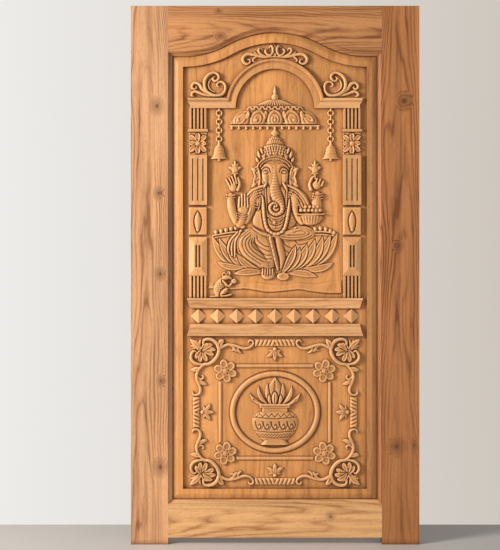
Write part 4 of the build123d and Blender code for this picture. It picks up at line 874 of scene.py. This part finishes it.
def carve_skirt(relief):
    """Five cupped paisleys with drops between them, over a fringe of tassels."""
    relief.tapered(DOME_SKIRT, flat)
    for x, lean in ((-136, -22), (-70, -10), (0, 0), (70, 10), (136, 22)):
        foot, tip = x + lean * 0.5, x - lean * 1.3
        relief.leaf((foot, -61), (tip, -13), 31, 5.4, section=scooped, how="add", widest=0.3)
        relief.leaf((foot, -58), (tip + lean * 0.4, -25), 17, 4.4, section=scooped, how="add", widest=0.35)
        relief.dome(foot, -49, 6, 8, 4, how="add")
    for x in (-102, -35, 35, 102):
        relief.leaf((x * 1.02, -13), (x * 1.1, -46), 8, 6, how="add")
    relief.stroke([(-178, -61, 2, 2.4), (178, -61, 2, 2.4)], how="add")
    relief.block(-180, 180, -73.5, -66.5, 12)
    for i in range(TASSELS):
        x = (i - (TASSELS - 1) / 2) * TASSEL_PITCH
        relief.stroke([(x, -68, 4, 8), (x, -72, 5, 10), (x, -77, 6.0, 10), (x, -79.5, 6.5, 8)])
        if i < TASSELS - 1:
            middle, end = x + TASSEL_PITCH / 2, x + TASSEL_PITCH - 5
            relief.stroke([(x + 5, -73, 1.5, 6), (middle, -77, 1.5, 6), (end, -73, 1.5, 6)])


def carve_canopy(material):
    relief = Relief(-181, 181, -88, 94, FIGURE_PITCH, (0, SPRING_Z))
    relief.tapered(FINIAL, rounded)
    relief.lines([((-14, y), (14, y)) for y in (44, 60, 70)], 1.2, 1.4, rounded)
    relief.tapered(DOME_TOP, swelled)
    for t in np.linspace(-1, 1, FLUTES):
        relief.stroke([(72 * t, 12, 2.6, 4.0), (28 * t, 32, 1.6, 2.6)], how="add")
    relief.tapered(DOME_BAND, flat)
    relief.stroke([((i - 9) * WAVE_PITCH, 5 if i % 2 else -5, 2.8, 4.4) for i in range(19)], how="add")
    for i in range(18):
        relief.dome((i - 8.5) * WAVE_PITCH, 5 if i % 2 else -6, 3.6, 3.6, 3.4, how="add")
    carve_skirt(relief)
    relief.piece("canopy_carving", material, "canopy")


def carve_bells(material):
    relief = Relief(-36, 36, -217, 1, FINE_PITCH, (BELL_X, SPRING_Z))
    relief.stroke([(0, 0, 4, 9), (0, -10, 4, 10)])
    for i in range(4):
        y = -19 - i * CHAIN_PITCH
        turns = np.linspace(0, 2 * math.pi, 25)
        relief.stroke([(10.5 * math.cos(a), y + 11 * math.sin(a), 3.3, 7.5) for a in turns], even=True)
        relief.stroke([(0, y - 8, 3.6, 10), (0, y - 27, 3.6, 10)])
    relief.tapered(BELL, rounded)
    for y, half in BELL_RINGS:
        relief.stroke([(-half, y, 1.8, 2.4), (half, y, 1.8, 2.4)], how="add")
    relief.dome(0, -205, 7, 6.5, 12)
    relief.pieces(SIDES, "bell_carving", material, "bell_on_chain")


# The seated figure and the mouse, drawn from the middle of the niche's floor

# The lotus: petals and leaves as foot, tip, half width, height and bend
BOWL = ((98, 30, 5), (108, 70, 6), (125, 115, 6), (150, 162, 6), (180, 200, 6), (215, 229, 6),
        (250, 244, 5))
BACK_PETALS = (
    ((-92, 124), (-250, 250), 21, 9, 0.17), ((-84, 120), (-222, 240), 20, 10, 0.15),
    ((-74, 114), (-188, 222), 20, 10.5, 0.16), ((-60, 110), (-150, 178), 16, 11, 0.12),
    ((98, 124), (248, 262), 21, 9, -0.17), ((90, 120), (222, 256), 20, 9.5, -0.15),
    ((84, 116), (190, 248), 20, 10, -0.16), ((72, 114), (160, 236), 19, 10.5, -0.12),
)
FRONT_PETALS = (
    ((62, 112), (128, 216), 18, 11, -0.1), ((52, 110), (100, 200), 15, 11.5, -0.08),
    ((34, 106), (82, 210), 16, 13, -0.05),
)
LOWER_LEAVES = (
    ((118, 117), (233, 141), 15, 9, -0.1), ((-128, 122), (-230, 143), 14, 9, 0.08),
    ((54, 100), (170, 84), 15, 9, 0.05), ((-52, 103), (-163, 96), 15, 9, -0.04),
)
LOTUS_TOPS = ((-235, 262), (-214, 266), (-194, 270), (-174, 275), (-156, 279), (160, 274), (181, 277),
              (202, 274), (220, 267), (234, 260))
LOTUS_RIMS = (
    ((-120, 264, 5, 10), (-180, 260, 5, 10), (-248, 248, 4, 9)),
    ((-120, 252, 4, 9), (-180, 249, 4, 9), (-240, 240, 3, 8)),
    ((140, 262, 5, 10), (190, 264, 5, 10), (247, 256, 4, 9)),
    ((140, 252, 4, 9), (190, 253, 4, 9), (242, 248, 3, 8)),
)

# Head and crown
CROWN = ((522, 60, 11), (540, 63, 13), (560, 60, 14), (574, 58, 15), (592, 50, 15), (606, 42, 14),
         (618, 34, 13), (630, 26, 12), (640, 19, 11), (646, 11, 9), (650, 15, 11), (656, 17, 12),
         (663, 13, 11), (669, 6, 9), (680, 1.5, 6))
CROWN_SIDE_LEAVES = (
    ((60, 556), (68, 588), 7, 13, 0), ((66, 540), (76, 562), 6, 11, 0), ((50, 574), (56, 600), 6, 14, 0),
)
CROWN_FRONT_LEAVES = (((22, 557), (24, 584), 8, 17.5, 0), ((42, 548), (46, 572), 7, 16.5, 0))

# Rows of beads on the crown, as level, half width, size and number
CROWN_BEADS = ((635, 22, 3.3, 6), (625, 29, 3.4, 7), (606, 41, 4.0, 10), (596, 47, 4.2, 9),
               (586, 52, 4.2, 11), (576, 56, 4.2, 10))
CROWN_BANDS = (
    ((-71, 520, 3.5, 15), (-58, 540, 4, 16), (-32, 556, 4, 17.5), (0, 562, 4, 18.5), (32, 556, 4, 17.5),
     (58, 540, 4, 16), (71, 520, 3.5, 15)),
    ((-60, 522, 3, 16), (-48, 537, 3.5, 17), (-26, 549, 3.5, 18.5), (0, 554, 3.5, 19.5),
     (26, 549, 3.5, 18.5), (48, 537, 3.5, 17), (60, 522, 3, 16)),
)
HEAD = ((440, 26, 12), (455, 41, 15), (475, 52, 17), (500, 57, 17), (530, 54, 15), (550, 40, 12),
        (556, 28, 10))
TRUNK = ((0, 528, 13, 15.5), (0, 506, 16, 18), (0, 484, 19, 20), (0, 458, 22, 20.5), (-1, 438, 25, 20.5),
         (2, 418, 28, 20.5), (8, 402, 27, 20), (18, 387, 20, 19.5), (27, 370, 13, 19),
         (29, 354, 11.5, 18.5), (23, 340, 11.5, 18.5), (7, 332, 11, 18.5), (-9, 337, 10.5, 18),
         (-19, 349, 9.5, 17.5), (-20, 363, 9, 17.5), (-12, 374, 8, 17), (0, 377, 7, 16.5), (8, 370, 6, 16),
         (6, 362, 5, 16))
EAR = ((74, 516, 9, 10), (74, 504, 14, 11), (69, 484, 13, 10.5), (72, 464, 16, 10.5), (73, 450, 14, 10),
       (71, 438, 7, 9))
EAR_TIPS = (((74, 502), (94, 519), 9, 11, 0), ((74, 458), (93, 440), 9, 11, 0))
EAR_LINES = (((62, 512), (76, 500), (70, 482)), ((60, 474), (76, 462), (68, 446)))
SOCKET = ((18, 500), (23, 514), (35, 520), (48, 513), (54, 494), (50, 470), (36, 448))
LID = ((23, 501), (30, 509), (41, 510), (50, 503))
BROW = ((13, 517), (25, 529), (41, 528), (54, 515))
EYE = (36, 500)

# Body, arms and what they wear
SHOULDER_CLOTHS = (
    ((-42, 446, 7, 13), (-64, 439, 8, 13), (-88, 428, 8, 13), (-110, 408, 6, 12)),
    ((46, 448, 7, 13), (68, 440, 8, 13), (92, 427, 8, 13), (116, 402, 7, 12.5), (132, 372, 5, 12)),
)
SHOULDER_BEADS = (
    ((-50, 432, 4, 14), (-70, 425, 4.5, 14.5), (-92, 413, 4.5, 14), (-107, 396, 4, 13.5)),
    ((-52, 421, 4, 14), (-70, 414, 4.5, 14.5), (-88, 402, 4.5, 14), (-101, 384, 4, 13.5)),
    ((-56, 409, 4, 14), (-72, 402, 4.5, 14.5), (-86, 390, 4.5, 14), (-96, 372, 4, 13.5)),
    ((54, 434, 4, 14), (74, 425, 4.5, 14.5), (94, 411, 4.5, 14), (111, 390, 4, 13.5), (122, 366, 4, 13)),
    ((56, 423, 4, 14), (74, 414, 4.5, 14.5), (91, 400, 4.5, 14), (104, 380, 4, 13.5), (113, 358, 4, 13)),
    ((60, 411, 4, 14), (76, 402, 4.5, 14.5), (88, 388, 4.5, 14), (97, 370, 4, 13.5), (104, 350, 4, 13)),
)
CHEST = ((335, 60, 11), (360, 78, 11), (385, 100, 11.5), (405, 112, 11.5), (422, 104, 11), (436, 86, 10),
         (450, 60, 9))
GARLAND = ((-52, 408, 4, 14), (-48, 390, 6.5, 17), (-46, 360, 8.5, 19.5), (-42, 315, 9, 20),
           (-32, 278, 9.5, 20), (-12, 258, 9.5, 20), (10, 254, 9.5, 20), (30, 264, 9.5, 20),
           (42, 290, 9, 20), (50, 325, 8.5, 19.5), (55, 360, 7.5, 18), (58, 392, 4, 14))
COLLARS = (
    ((-60, 434, 4, 13), (-58, 400, 4.5, 14), (-60, 372, 4.5, 14), (-66, 352, 4, 13)),
    ((66, 428, 4, 13), (66, 400, 4.5, 14), (66, 372, 4.5, 14), (70, 350, 4, 13)),
    ((-38, 438, 4, 14), (-36, 400, 5, 15), (-34, 362, 5, 16), (-30, 332, 5, 17), (-14, 312, 5, 17.5),
     (6, 308, 5, 17.5), (28, 314, 5, 17), (42, 336, 5, 16), (45, 380, 5, 15), (48, 436, 4, 14)),
    ((-28, 316, 3.5, 17), (-16, 298, 4, 18), (4, 292, 4, 18), (24, 298, 4, 17.5), (36, 314, 3.5, 17)),
)
BELTS = (
    ((-84, 276, 4, 17), (-50, 254, 5, 19), (0, 246, 5, 19), (50, 254, 5, 18), (84, 280, 4, 16)),
    ((-92, 284, 3, 16), (-56, 262, 3, 18), (-20, 252, 3, 19)),
)
BELLY_LINES = (((-34, 300), (-8, 276), (26, 282), (40, 304)), ((-30, 290), (-6, 268), (22, 270), (36, 288)))
SHOULDERS = (
    ((-74, 424, 24, 11), (-92, 398, 24, 12), (-96, 366, 20, 12)),
    ((76, 424, 26, 11), (102, 396, 29, 11.5), (120, 364, 22, 11), (130, 345, 13, 10)),
)
ARMS = (
    ((-78, 420, 20, 12), (-88, 388, 21, 13.5), (-96, 345, 17, 13), (-114, 312, 16, 12), (-136, 292, 15, 12)),
    ((-176, 405, 15, 13), (-176, 380, 17, 14), (-170, 350, 19, 14), (-160, 320, 18, 13),
     (-148, 296, 15, 12), (-128, 285, 12, 11)),
    ((-127, 330, 20, 13), (-132, 305, 19, 13), (-144, 290, 14, 11)),
    ((86, 420, 20, 11), (108, 402, 19, 11), (122, 378, 16, 10), (134, 356, 14, 9)),
    ((78, 404, 19, 13), (80, 376, 18, 14), (80, 350, 14, 13), (90, 322, 13, 12), (108, 300, 12, 11)),
    ((170, 412, 14, 12), (168, 394, 18, 13), (166, 372, 22, 14), (164, 345, 22, 13)),
)
BRACELETS = (
    ((-193, 410, 4, 16), (-176, 406, 4, 17), (-159, 410, 4, 16)),
    ((-193, 401, 3, 15), (-176, 397, 3, 16), (-159, 401, 3, 15)),
    ((152, 415, 3.5, 16), (170, 411, 3.5, 17), (188, 415, 3.5, 16)),
    ((150, 406, 4, 15), (169, 401, 4, 16), (189, 406, 4, 15)),
    ((148, 397, 3, 15), (168, 392, 3, 16), (190, 397, 3, 15)),
    ((-154, 338, 3.5, 16), (-130, 332, 3.5, 17), (-106, 338, 3.5, 16)),
    ((-154, 329, 4, 15), (-130, 322, 4, 16), (-106, 329, 4, 15)),
    ((-152, 320, 3, 15), (-130, 313, 3, 16), (-108, 320, 3, 15)),
    ((-104, 366, 4, 15), (-88, 372, 4, 16), (-68, 368, 4, 15)),
    ((-104, 357, 3, 15), (-88, 362, 3, 16), (-70, 359, 3, 15)),
    ((66, 370, 4, 15), (80, 366, 4, 16), (96, 370, 4, 15)),
)
PALMS = ((-165, 442, 20, 21, 14), (165, 450, 22, 19, 14), (-124, 352, 28, 30, 15.5))
HAND_LEAVES = (((6, 505), (28, 520), 7.5, 10, 0.2), ((5, 512), (15, 538), 5, 10, 0.1))
FINGERS = (
    ((-178, 442, 5.5, 14), (-193, 470, 4.5, 12)), ((-168, 447, 5.5, 14), (-182, 476, 4.5, 13)),
    ((-160, 452, 5.5, 15), (-171, 482, 4.5, 13)), ((-152, 456, 5.5, 14), (-160, 488, 4.5, 12)),
    ((-148, 430, 7, 15), (-141, 452, 6.5, 15), (-147, 478, 5, 13)),
    ((160, 450, 6, 14), (168, 474, 5, 13)), ((173, 452, 6, 14), (181, 472, 5, 12)),
    ((186, 448, 5.5, 13), (192, 464, 4.5, 12)),
    ((143, 432, 8, 15), (138, 452, 7, 15), (146, 474, 6, 14), (154, 484, 4.5, 12)),
    ((-143, 362, 6.6, 16.5), (-141, 400, 5.6, 14)), ((-131, 366, 6.6, 17), (-131, 412, 5.6, 14.5)),
    ((-119, 366, 6.6, 17), (-120.5, 412, 5.6, 14.5)), ((-107.5, 362, 6.6, 16.5), (-110, 400, 5.6, 14)),
    ((-104, 334, 8, 16), (-96, 358, 6.5, 14.5), (-97, 382, 4.5, 12)),
)

# Legs, and folds cut in the cloth as their courses
THIGHS = (
    ((-30, 248, 24, 13), (-80, 250, 32, 15), (-122, 236, 36, 16)),
    ((4, 244, 12, 12), (34, 248, 24, 15), (80, 255, 32, 17), (120, 258, 30, 17), (142, 256, 20, 14),
     (154, 254, 8, 11)),
)
SHINS = (
    ((-118, 214, 38, 16), (-98, 182, 38, 16.5), (-66, 154, 32, 16), (-38, 134, 24, 15), (-26, 120, 20, 14)),
    ((-60, 236, 34, 14), (-36, 210, 36, 15), (-22, 178, 30, 15), (-18, 148, 24, 14.5), (-20, 124, 18, 14)),
)
SASH = (
    ((-22, 250, 10, 16), (-16, 222, 11, 17.5), (-8, 190, 11, 17), (2, 150, 10, 16), (12, 112, 5, 12)),
    ((12, 240, 14, 13), (20, 200, 18, 13), (28, 160, 16, 12), (24, 120, 7, 10)),
)
SASH_EDGES = (
    ((-30, 246, 2.5, 17), (-25, 220, 2.5, 18), (-17, 188, 2.5, 18), (-7, 150, 2.5, 17)),
    ((-13, 248, 2.5, 17), (-7, 222, 2.5, 18), (1, 190, 2.5, 18), (10, 152, 2.5, 17), (16, 118, 2, 13)),
)
LEFT_FOLDS = (
    ((-98, 272), (-112, 262), (-138, 238), (-146, 208), (-134, 176), (-108, 150), (-70, 128)),
    ((-96, 262), (-122, 240), (-130, 214), (-118, 182), (-92, 158), (-56, 134)),
    ((-94, 250), (-112, 232), (-116, 208), (-104, 184), (-78, 162), (-40, 142), (-16, 142)),
    ((-96, 238), (-104, 218), (-94, 194), (-68, 172), (-38, 156), (-12, 156)),
    ((-90, 236), (-92, 216), (-80, 198), (-56, 182), (-32, 170), (-10, 172)),
    ((-82, 240), (-80, 222), (-66, 206), (-44, 194), (-24, 186), (-14, 188)),
    ((-72, 246), (-66, 228), (-50, 214), (-36, 206), (-22, 204)),
    ((-118, 268), (-152, 244), (-158, 214), (-150, 184), (-126, 156)),
)
RIGHT_FOLDS = (
    ((10, 240), (40, 232), (80, 230), (120, 236), (146, 248)),
    ((14, 248), (46, 240), (84, 240), (114, 244), (136, 256), (128, 268), (104, 272)),
    ((22, 256), (52, 250), (84, 250), (112, 252), (122, 260), (110, 266), (90, 266), (76, 260)),
    ((34, 268), (60, 272), (90, 278), (124, 276), (146, 266)), ((30, 232), (44, 210), (68, 198)),
    ((24, 226), (36, 196), (56, 180)), ((20, 210), (30, 180), (46, 162)), ((18, 190), (26, 164), (38, 146)),
    ((16, 170), (24, 146), (32, 132)), ((80, 228), (100, 212), (132, 222)),
)
DRAPE = (
    ((-134, 268, 6, 15), (-160, 238, 7, 14), (-172, 206, 7, 13), (-170, 168, 4, 10)),
    ((-140, 258, 6, 15), (-158, 222, 7, 14), (-160, 164, 4, 10)),
    ((-148, 262, 5, 14), (-176, 230, 6, 13), (-186, 196, 6, 12), (-182, 176, 4, 9)),
)


def petal(relief, foot, tip, half, height, bend):
    """A cupped petal with a midrib and two veins cut beside it."""
    relief.leaf(foot, tip, half, height, bend, scooped, widest=0.5, moat=5.0)
    spine = leaf_rows(foot, tip, half, height, bend)
    for shift in (-0.42, 0.42):
        vein = []
        for a, b in zip(spine[2:-3], spine[3:-2]):
            dx, dy = b[0] - a[0], b[1] - a[1]
            run = math.hypot(dx, dy)
            vein.append((a[0] - dy / run * a[2] * shift, a[1] + dx / run * a[2] * shift))
        relief.lines([vein], 1.0, 1.1)


def carve_lotus(relief):
    for x, y in LOTUS_TOPS:
        relief.dome(x, y, 9, 10, 10)
        relief.dome(x, y - 5, 5, 5, 2, how="add")
    for rows in LOTUS_RIMS:
        relief.stroke(rows)
    relief.tapered(BOWL, flat, at=-1)
    for leaf in BACK_PETALS + LOWER_LEAVES + FRONT_PETALS:
        petal(relief, *leaf)


def carve_legs(relief):
    relief.dome(-122, 226, 46, 50, 16.5, swelled)
    for rows in THIGHS + SHINS:
        relief.stroke(rows, swelled)
    relief.lines(LEFT_FOLDS + RIGHT_FOLDS, 2.6, 3.2)
    for rows in DRAPE:
        relief.stroke(rows, moat=2.5)
    relief.stroke(SASH[1], swelled)
    relief.stroke(SASH[0], swelled, moat=1.2)
    for rows in SASH_EDGES:
        relief.stroke(rows, ripple=(0.4, 6))
    for k in range(7):
        relief.dome(-18 + 3.6 * k, 238 - 17 * k, 4, 5, 2.5, how="add")


def carve_feet(relief):
    relief.dome(-28, 97, 29, 26, 12.5, flat)
    relief.dome(33, 86, 26, 17, 12, flat)
    relief.dome(33, 86, 20, 12, 1.6, flat, how="cut")
    relief.dome(26, 90, 3.5, 3.5, 2, how="add")
    for i in range(5):
        x = -9.5 - 9.7 * i
        relief.stroke([(x, 116, 4, 14), (x - 0.5, 104, 4.6, 16), (x - 1, 92 + 1.5 * abs(i - 2), 4.4, 14.5)],
                      moat=1.5)
    for y in (127, 135, 143):
        relief.stroke([(-52, y, 3.4, 17), (-28, y - 4, 3.4, 18), (-4, y, 3.4, 17)], ripple=(0.35, 7))


def carve_torso(relief):
    relief.tapered(CHEST, swelled)
    for rows in SHOULDERS:
        relief.stroke(rows, swelled)
    for side in (-1, 1):
        relief.dome(side * 68, 386, 22, 30, 13.5, swelled)
    relief.dome(-2, 312, 88, 66, 16.5)
    for rows in BELTS:
        relief.stroke(rows)
    for rows in COLLARS:
        relief.stroke(rows, ripple=(0.45, 8), moat=3)
    relief.stroke(GARLAND, ripple=(0.12, 15), moat=4)
    relief.dome(-2, 300, 9, 11, 19.5)
    relief.dome(-2, 281, 5, 7, 19.5)
    relief.lines(BELLY_LINES, 2, 2)


def carve_arms(relief):
    for rows in ARMS:
        relief.stroke(rows, swelled, moat=2.5)
    for rows in BRACELETS:
        relief.stroke(rows, ripple=(0.35, 6))
    for x, y, rx, ry, height in PALMS:
        relief.dome(x, y, rx, ry, height, swelled)
    for x in (-159, 159):
        relief.leaf((x, 516), (x, 550), 7, 11, section=rounded)
        relief.side_leaves(HAND_LEAVES, at=x)
        relief.dome(x, 510, 14, 17, 14)
        relief.dome(x, 511, 6, 10, 1.8, how="cut")
        relief.stroke([(x - 11, 496, 3, 12), (x, 493, 3, 13), (x + 11, 496, 3, 12)])
        relief.stroke([(x, 492, 5, 11), (x + 1, 474, 4, 11)])
    for rows in FINGERS:
        relief.stroke(rows)
    relief.dome(-126, 350, 9, 9, 1.6, how="cut")
    relief.dome(-126, 350, 4, 4, 1.4, how="add")


def carve_bowl(relief):
    """The bowl of sweets on the fourth hand, with a petalled outside."""
    relief.dome(140, 300, 24, 14, 14, swelled)
    relief.tapered(((292, 24, 14), (302, 40, 16), (318, 53, 17), (336, 57, 17)), swelled, at=140)
    for k in range(8):
        x = 98 + 12 * k
        relief.stroke([(x + (k - 3.5) * -2.2, 297, 2.2, 1.4), (x, 322, 4.0, 2.4)], how="add")
    relief.stroke([(84, 334, 3.5, 18), (140, 330, 3.5, 19), (197, 334, 3.5, 18)])
    for y, x0, pitch, count in ((362, 122, 16, 4), (349, 104, 15, 6)):
        for k in range(count):
            relief.dome(x0 + pitch * k, y, 9.5, 9.5, 17)


def carve_crown(relief):
    relief.side_leaves(CROWN_SIDE_LEAVES, section=rounded)
    relief.tapered(CROWN, swelled)
    for y, half, bead, count in CROWN_BEADS:
        for share in np.linspace(-1, 1, count):
            x = half * share * 0.94
            relief.dome(x, y - 0.004 * x * x, bead, bead * 1.3, 4.2, how="add")
    for y, half in ((641, 20), (612.5, 38)):
        relief.lines([((-half, y - 4), (0, y), (half, y - 4))], 1.8, 3)
    relief.leaf((0, 560), (0, 596), 12, 18.5)
    relief.side_leaves(CROWN_FRONT_LEAVES)
    relief.dome(0, 573, 4, 5, 2, how="add")
    for rows in CROWN_BANDS:
        relief.stroke(rows, ripple=(0.35, 7))
    relief.lines([((-15, y), (15, y)) for y in (652, 659)], 1.3, 2.2)


def carve_eye(relief, side):
    """A cheek with a sunk eye in it, under a raised brow."""
    relief.dome(side * 37, 482, 19, 40, 17.5)
    relief.lines([mirrored(SOCKET) if side < 0 else SOCKET], 3.0, 4.6)
    x, y = side * EYE[0], EYE[1]
    relief.dome(x, y, 14, 9, 4.4, flat, how="cut", turn=-10 * side)
    relief.dome(x, y, 10.5, 5.8, 5.2, how="add", turn=-10 * side)
    relief.stroke([(side * x, y, 2.0, 3.0) for x, y in LID], how="add")
    relief.dome(x, y, 3, 3, 3.2, how="cut")
    relief.stroke([(side * x, y, 2.8, 2.2) for x, y in BROW], how="add")


def carve_face(relief):
    relief.tapered(HEAD, swelled)
    for side in (-1, 1):
        carve_eye(relief, side)
    relief.stroke([(x, y, half + MOAT_W, 5.5) for x, y, half, _ in TRUNK[6:]], flat, "cut")
    relief.stroke(TRUNK, swelled, ripple=(0.11, 11))
    relief.dome(-1, 364, 8, 8, 17)
    for y in (534, 540, 546):
        relief.stroke([(-26, y + 2, 1.6, 2.4), (0, y - 2, 1.8, 2.6), (26, y + 2, 1.6, 2.4)], folded, "cut")
    relief.leaf((30, 458), (49, 420), 7, 20, 0.08, rounded)
    relief.leaf((-32, 462), (-46, 434), 6.5, 18, section=rounded)


def carve_head(relief):
    relief.side_leaves(EAR_TIPS, section=rounded)
    relief.stroke(mirrored(EAR), scooped)
    relief.stroke(EAR, scooped)
    relief.lines([mirrored(course) for course in EAR_LINES] + list(EAR_LINES), 2, 2.4)
    for rows in SHOULDER_CLOTHS:
        relief.stroke(rows)
    for rows in SHOULDER_BEADS:
        relief.stroke(rows, ripple=(0.4, 7))
    carve_crown(relief)
    carve_face(relief)


def carve_figure(material):
    relief = Relief(-256, 252, 62, 684, FIGURE_PITCH, (0, NICHE_Z))
    carve_lotus(relief)
    carve_torso(relief)
    carve_legs(relief)
    carve_feet(relief)
    carve_arms(relief)
    carve_bowl(relief)
    carve_head(relief)
    relief.piece("figure_carving", material, "seated_figure")


def carve_mouse(material):
    relief = Relief(-262, -148, 1, 110, FINE_PITCH, (0, NICHE_Z))
    relief.stroke([(-258, 5, 2.5, 5), (-242, 6, 3.5, 7), (-222, 8, 5, 9)])
    relief.stroke([(-227, 13, 13, 10), (-223, 34, 23, 14), (-214, 56, 21, 15), (-204, 72, 14, 13)], swelled)
    for k in range(5):
        relief.lines([((-238 + 7 * k, 26), (-230 + 6 * k, 64))], 1.4, 2.6)
        relief.lines([((-240 + 3 * k, 28 + 8 * k), (-206 + 2 * k, 23 + 8 * k))], 1.3, 2.4)
    relief.stroke([(-215, 74, 2.4, 14), (-204, 62, 2.4, 16), (-195, 42, 2.4, 15)])
    relief.dome(-201, 93, 10, 11, 13, scooped)
    relief.leaf((-187, 86), (-181, 109), 8, 13, section=scooped)
    relief.stroke([(-204, 74, 11, 13), (-196, 82, 13, 15), (-184, 83, 9.5, 15), (-174, 77, 4.5, 13)], swelled,
                  moat=2)
    relief.stroke([(-206, 68, 7, 15), (-194, 54, 6.5, 16), (-184, 47, 5.5, 15), (-172, 58, 4.5, 14)], moat=3)
    relief.dome(-163, 67, 12, 12, 13)
    relief.dome(-163, 68, 3.5, 3.5, 3, how="cut")
    relief.stroke([(-214, 14, 8, 12), (-204, 25, 12, 16), (-192, 36, 8, 15)], swelled, moat=3)
    relief.stroke([(-212, 8, 6, 12), (-192, 9, 5, 11), (-174, 14, 4.5, 9)], moat=2)
    relief.dome(-189, 88, 2.6, 2.2, 3, how="cut")
    relief.lines([((-184, 76), (-173, 75))], 1.4, 3)
    relief.piece("mouse_carving", material, "mouse")


def make_carvings():
    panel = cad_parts["carved_panel"].material_slots[0].material
    carve_mouldings(panel)
    carve_earth(panel)
    sharp = dict(pale=(0.8, 0.366, 0.12, 1), soft_edges=False, contrast=0.4, figure=5.0,
                 hollow_reach=CARVING_HOLLOW)
    upright = teak("Carved teak", "X", 7.7, **sharp)
    level = teak("Carved teak across", "Z", 9.3, **sharp)
    carve_figure(upright)
    carve_mouse(upright)
    carve_canopy(level)
    carve_bells(upright)
    carve_crest(level)
    carve_spandrels(upright)
    carve_lens_blocks(upright)
    carve_flower_blocks(upright)
    carve_pot(upright)
    carve_corners(upright)
    carve_rosettes(upright)
    carve_ropes(level)
    carve_buds(upright)


# The floor, the light and the camera

CAMERA_AWAY = 3.6
VIEW_X, VIEW_Z = -0.0994, 1.0676
VIEW_H = 2.1788
SENSOR_H = 24.0
FLOOR_REACH = 8.0
FLOOR_BACK_Y = 0.265
FLOOR_COLOUR = (0.6, 0.555, 0.51, 1)
FLOOR_DARKER = 0.95
FLOOR_ROUGHNESS = 0.45
WORLD_COLOUR = (1.0, 0.99, 0.98, 1)
WORLD_STRENGTH = 0.34
# The backdrop that the camera sees: painted light on the left and painted shade on the right, as of a wall
# lit from the left
BACKDROP_LIT_LEFT = (0.855, 0.84, 0.823, 1)
BACKDROP_SHADED_RIGHT = (0.617, 0.565, 0.509, 1)
BACKDROP_REACH = 0.27


def make_floor():
    """A honed floor, nearly even, with a faint drift of tone."""
    material = bpy.data.materials.new("Pale floor")
    tree = Tree(material)
    drift = tree.noise(tree.node("TexCoord").outputs["Object"], 1.6, 3.0)
    darker = tuple(c * FLOOR_DARKER for c in FLOOR_COLOUR[:3]) + (1,)
    shader = tree.nodes["Principled BSDF"]
    share = tree.remap(drift, 0.3, 0.7, 0.0, 1.0)
    tree.set(shader.inputs["Base Color"], tree.mix(share, FLOOR_COLOUR, darker))
    shader.inputs["Roughness"].default_value = FLOOR_ROUGHNESS
    reach = FLOOR_REACH
    corners = [(-reach, -reach, 0), (reach, -reach, 0), (reach, FLOOR_BACK_Y, 0), (-reach, FLOOR_BACK_Y, 0)]
    mesh = bpy.data.meshes.new("floor")
    mesh.from_pydata(corners, [], [(0, 1, 2, 3)])
    mesh.materials.append(material)
    made = bpy.data.objects.new("floor", mesh)
    bpy.context.scene.collection.objects.link(made)


def area_light(name, place, aim, size, power, colour):
    light = bpy.data.lights.new(name, "AREA")
    light.shape = "DISK"
    light.size = size
    light.energy = power
    light.color = colour
    lamp = bpy.data.objects.new(name, light)
    lamp.location = place
    run = [a - b for a, b in zip(aim, place)]
    flat_run = math.hypot(run[0], run[1])
    lamp.rotation_euler = (math.atan2(flat_run, -run[2]), 0, math.atan2(run[1], run[0]) - math.pi / 2)
    bpy.context.scene.collection.objects.link(lamp)


def make_lights():
    area_light("window", place=(-3.5, -1.8, 2.1), aim=(0.1, 0.0, 1.05), size=1.2, power=205,
               colour=(1.0, 0.985, 0.96))
    area_light("fill", place=(3.0, -3.0, 1.0), aim=(0.5, 0.0, 0.6), size=2.2, power=23,
               colour=(0.97, 0.98, 1.0))


def make_backdrop():
    """A plain light from all round; the camera sees it with painted light, pale on the left, and in painted
    shade, greyer, on the right.
    """
    world = bpy.data.worlds.new("studio")
    tree = Tree(world)
    light = tree.nodes["Background"]
    light.inputs["Color"].default_value = WORLD_COLOUR
    light.inputs["Strength"].default_value = WORLD_STRENGTH
    across = tree.node("SeparateXYZ", {0: tree.node("TexCoord").outputs["Generated"]}).outputs[0]
    share = tree.remap(across, -BACKDROP_REACH, BACKDROP_REACH, 0.0, 1.0)
    seen = tree.node("Background", {"Color": tree.mix(share, BACKDROP_LIT_LEFT, BACKDROP_SHADED_RIGHT)})
    camera_ray = tree.node("LightPath").outputs["Is Camera Ray"]
    pick = tree.node("MixShader", {0: camera_ray, 1: light.outputs[0], 2: seen.outputs[0]})
    tree.set(tree.nodes["World Output"].inputs["Surface"], pick.outputs[0])
    bpy.context.scene.world = world


def make_camera():
    camera = bpy.data.cameras.new("camera")
    camera.sensor_fit = "VERTICAL"
    camera.sensor_height = SENSOR_H
    camera.lens = SENSOR_H * CAMERA_AWAY / VIEW_H
    seat = bpy.data.objects.new("camera", camera)
    seat.location = (VIEW_X, FACE_Y - CAMERA_AWAY, VIEW_Z)
    seat.rotation_euler = (math.pi / 2, 0, 0)
    bpy.context.scene.collection.objects.link(seat)
    bpy.context.scene.camera = seat
    bpy.context.scene.view_settings.view_transform = "Standard"


make_camera()
dress_frame()
dress_mouldings()
make_carvings()
make_floor()
make_lights()
make_backdrop()
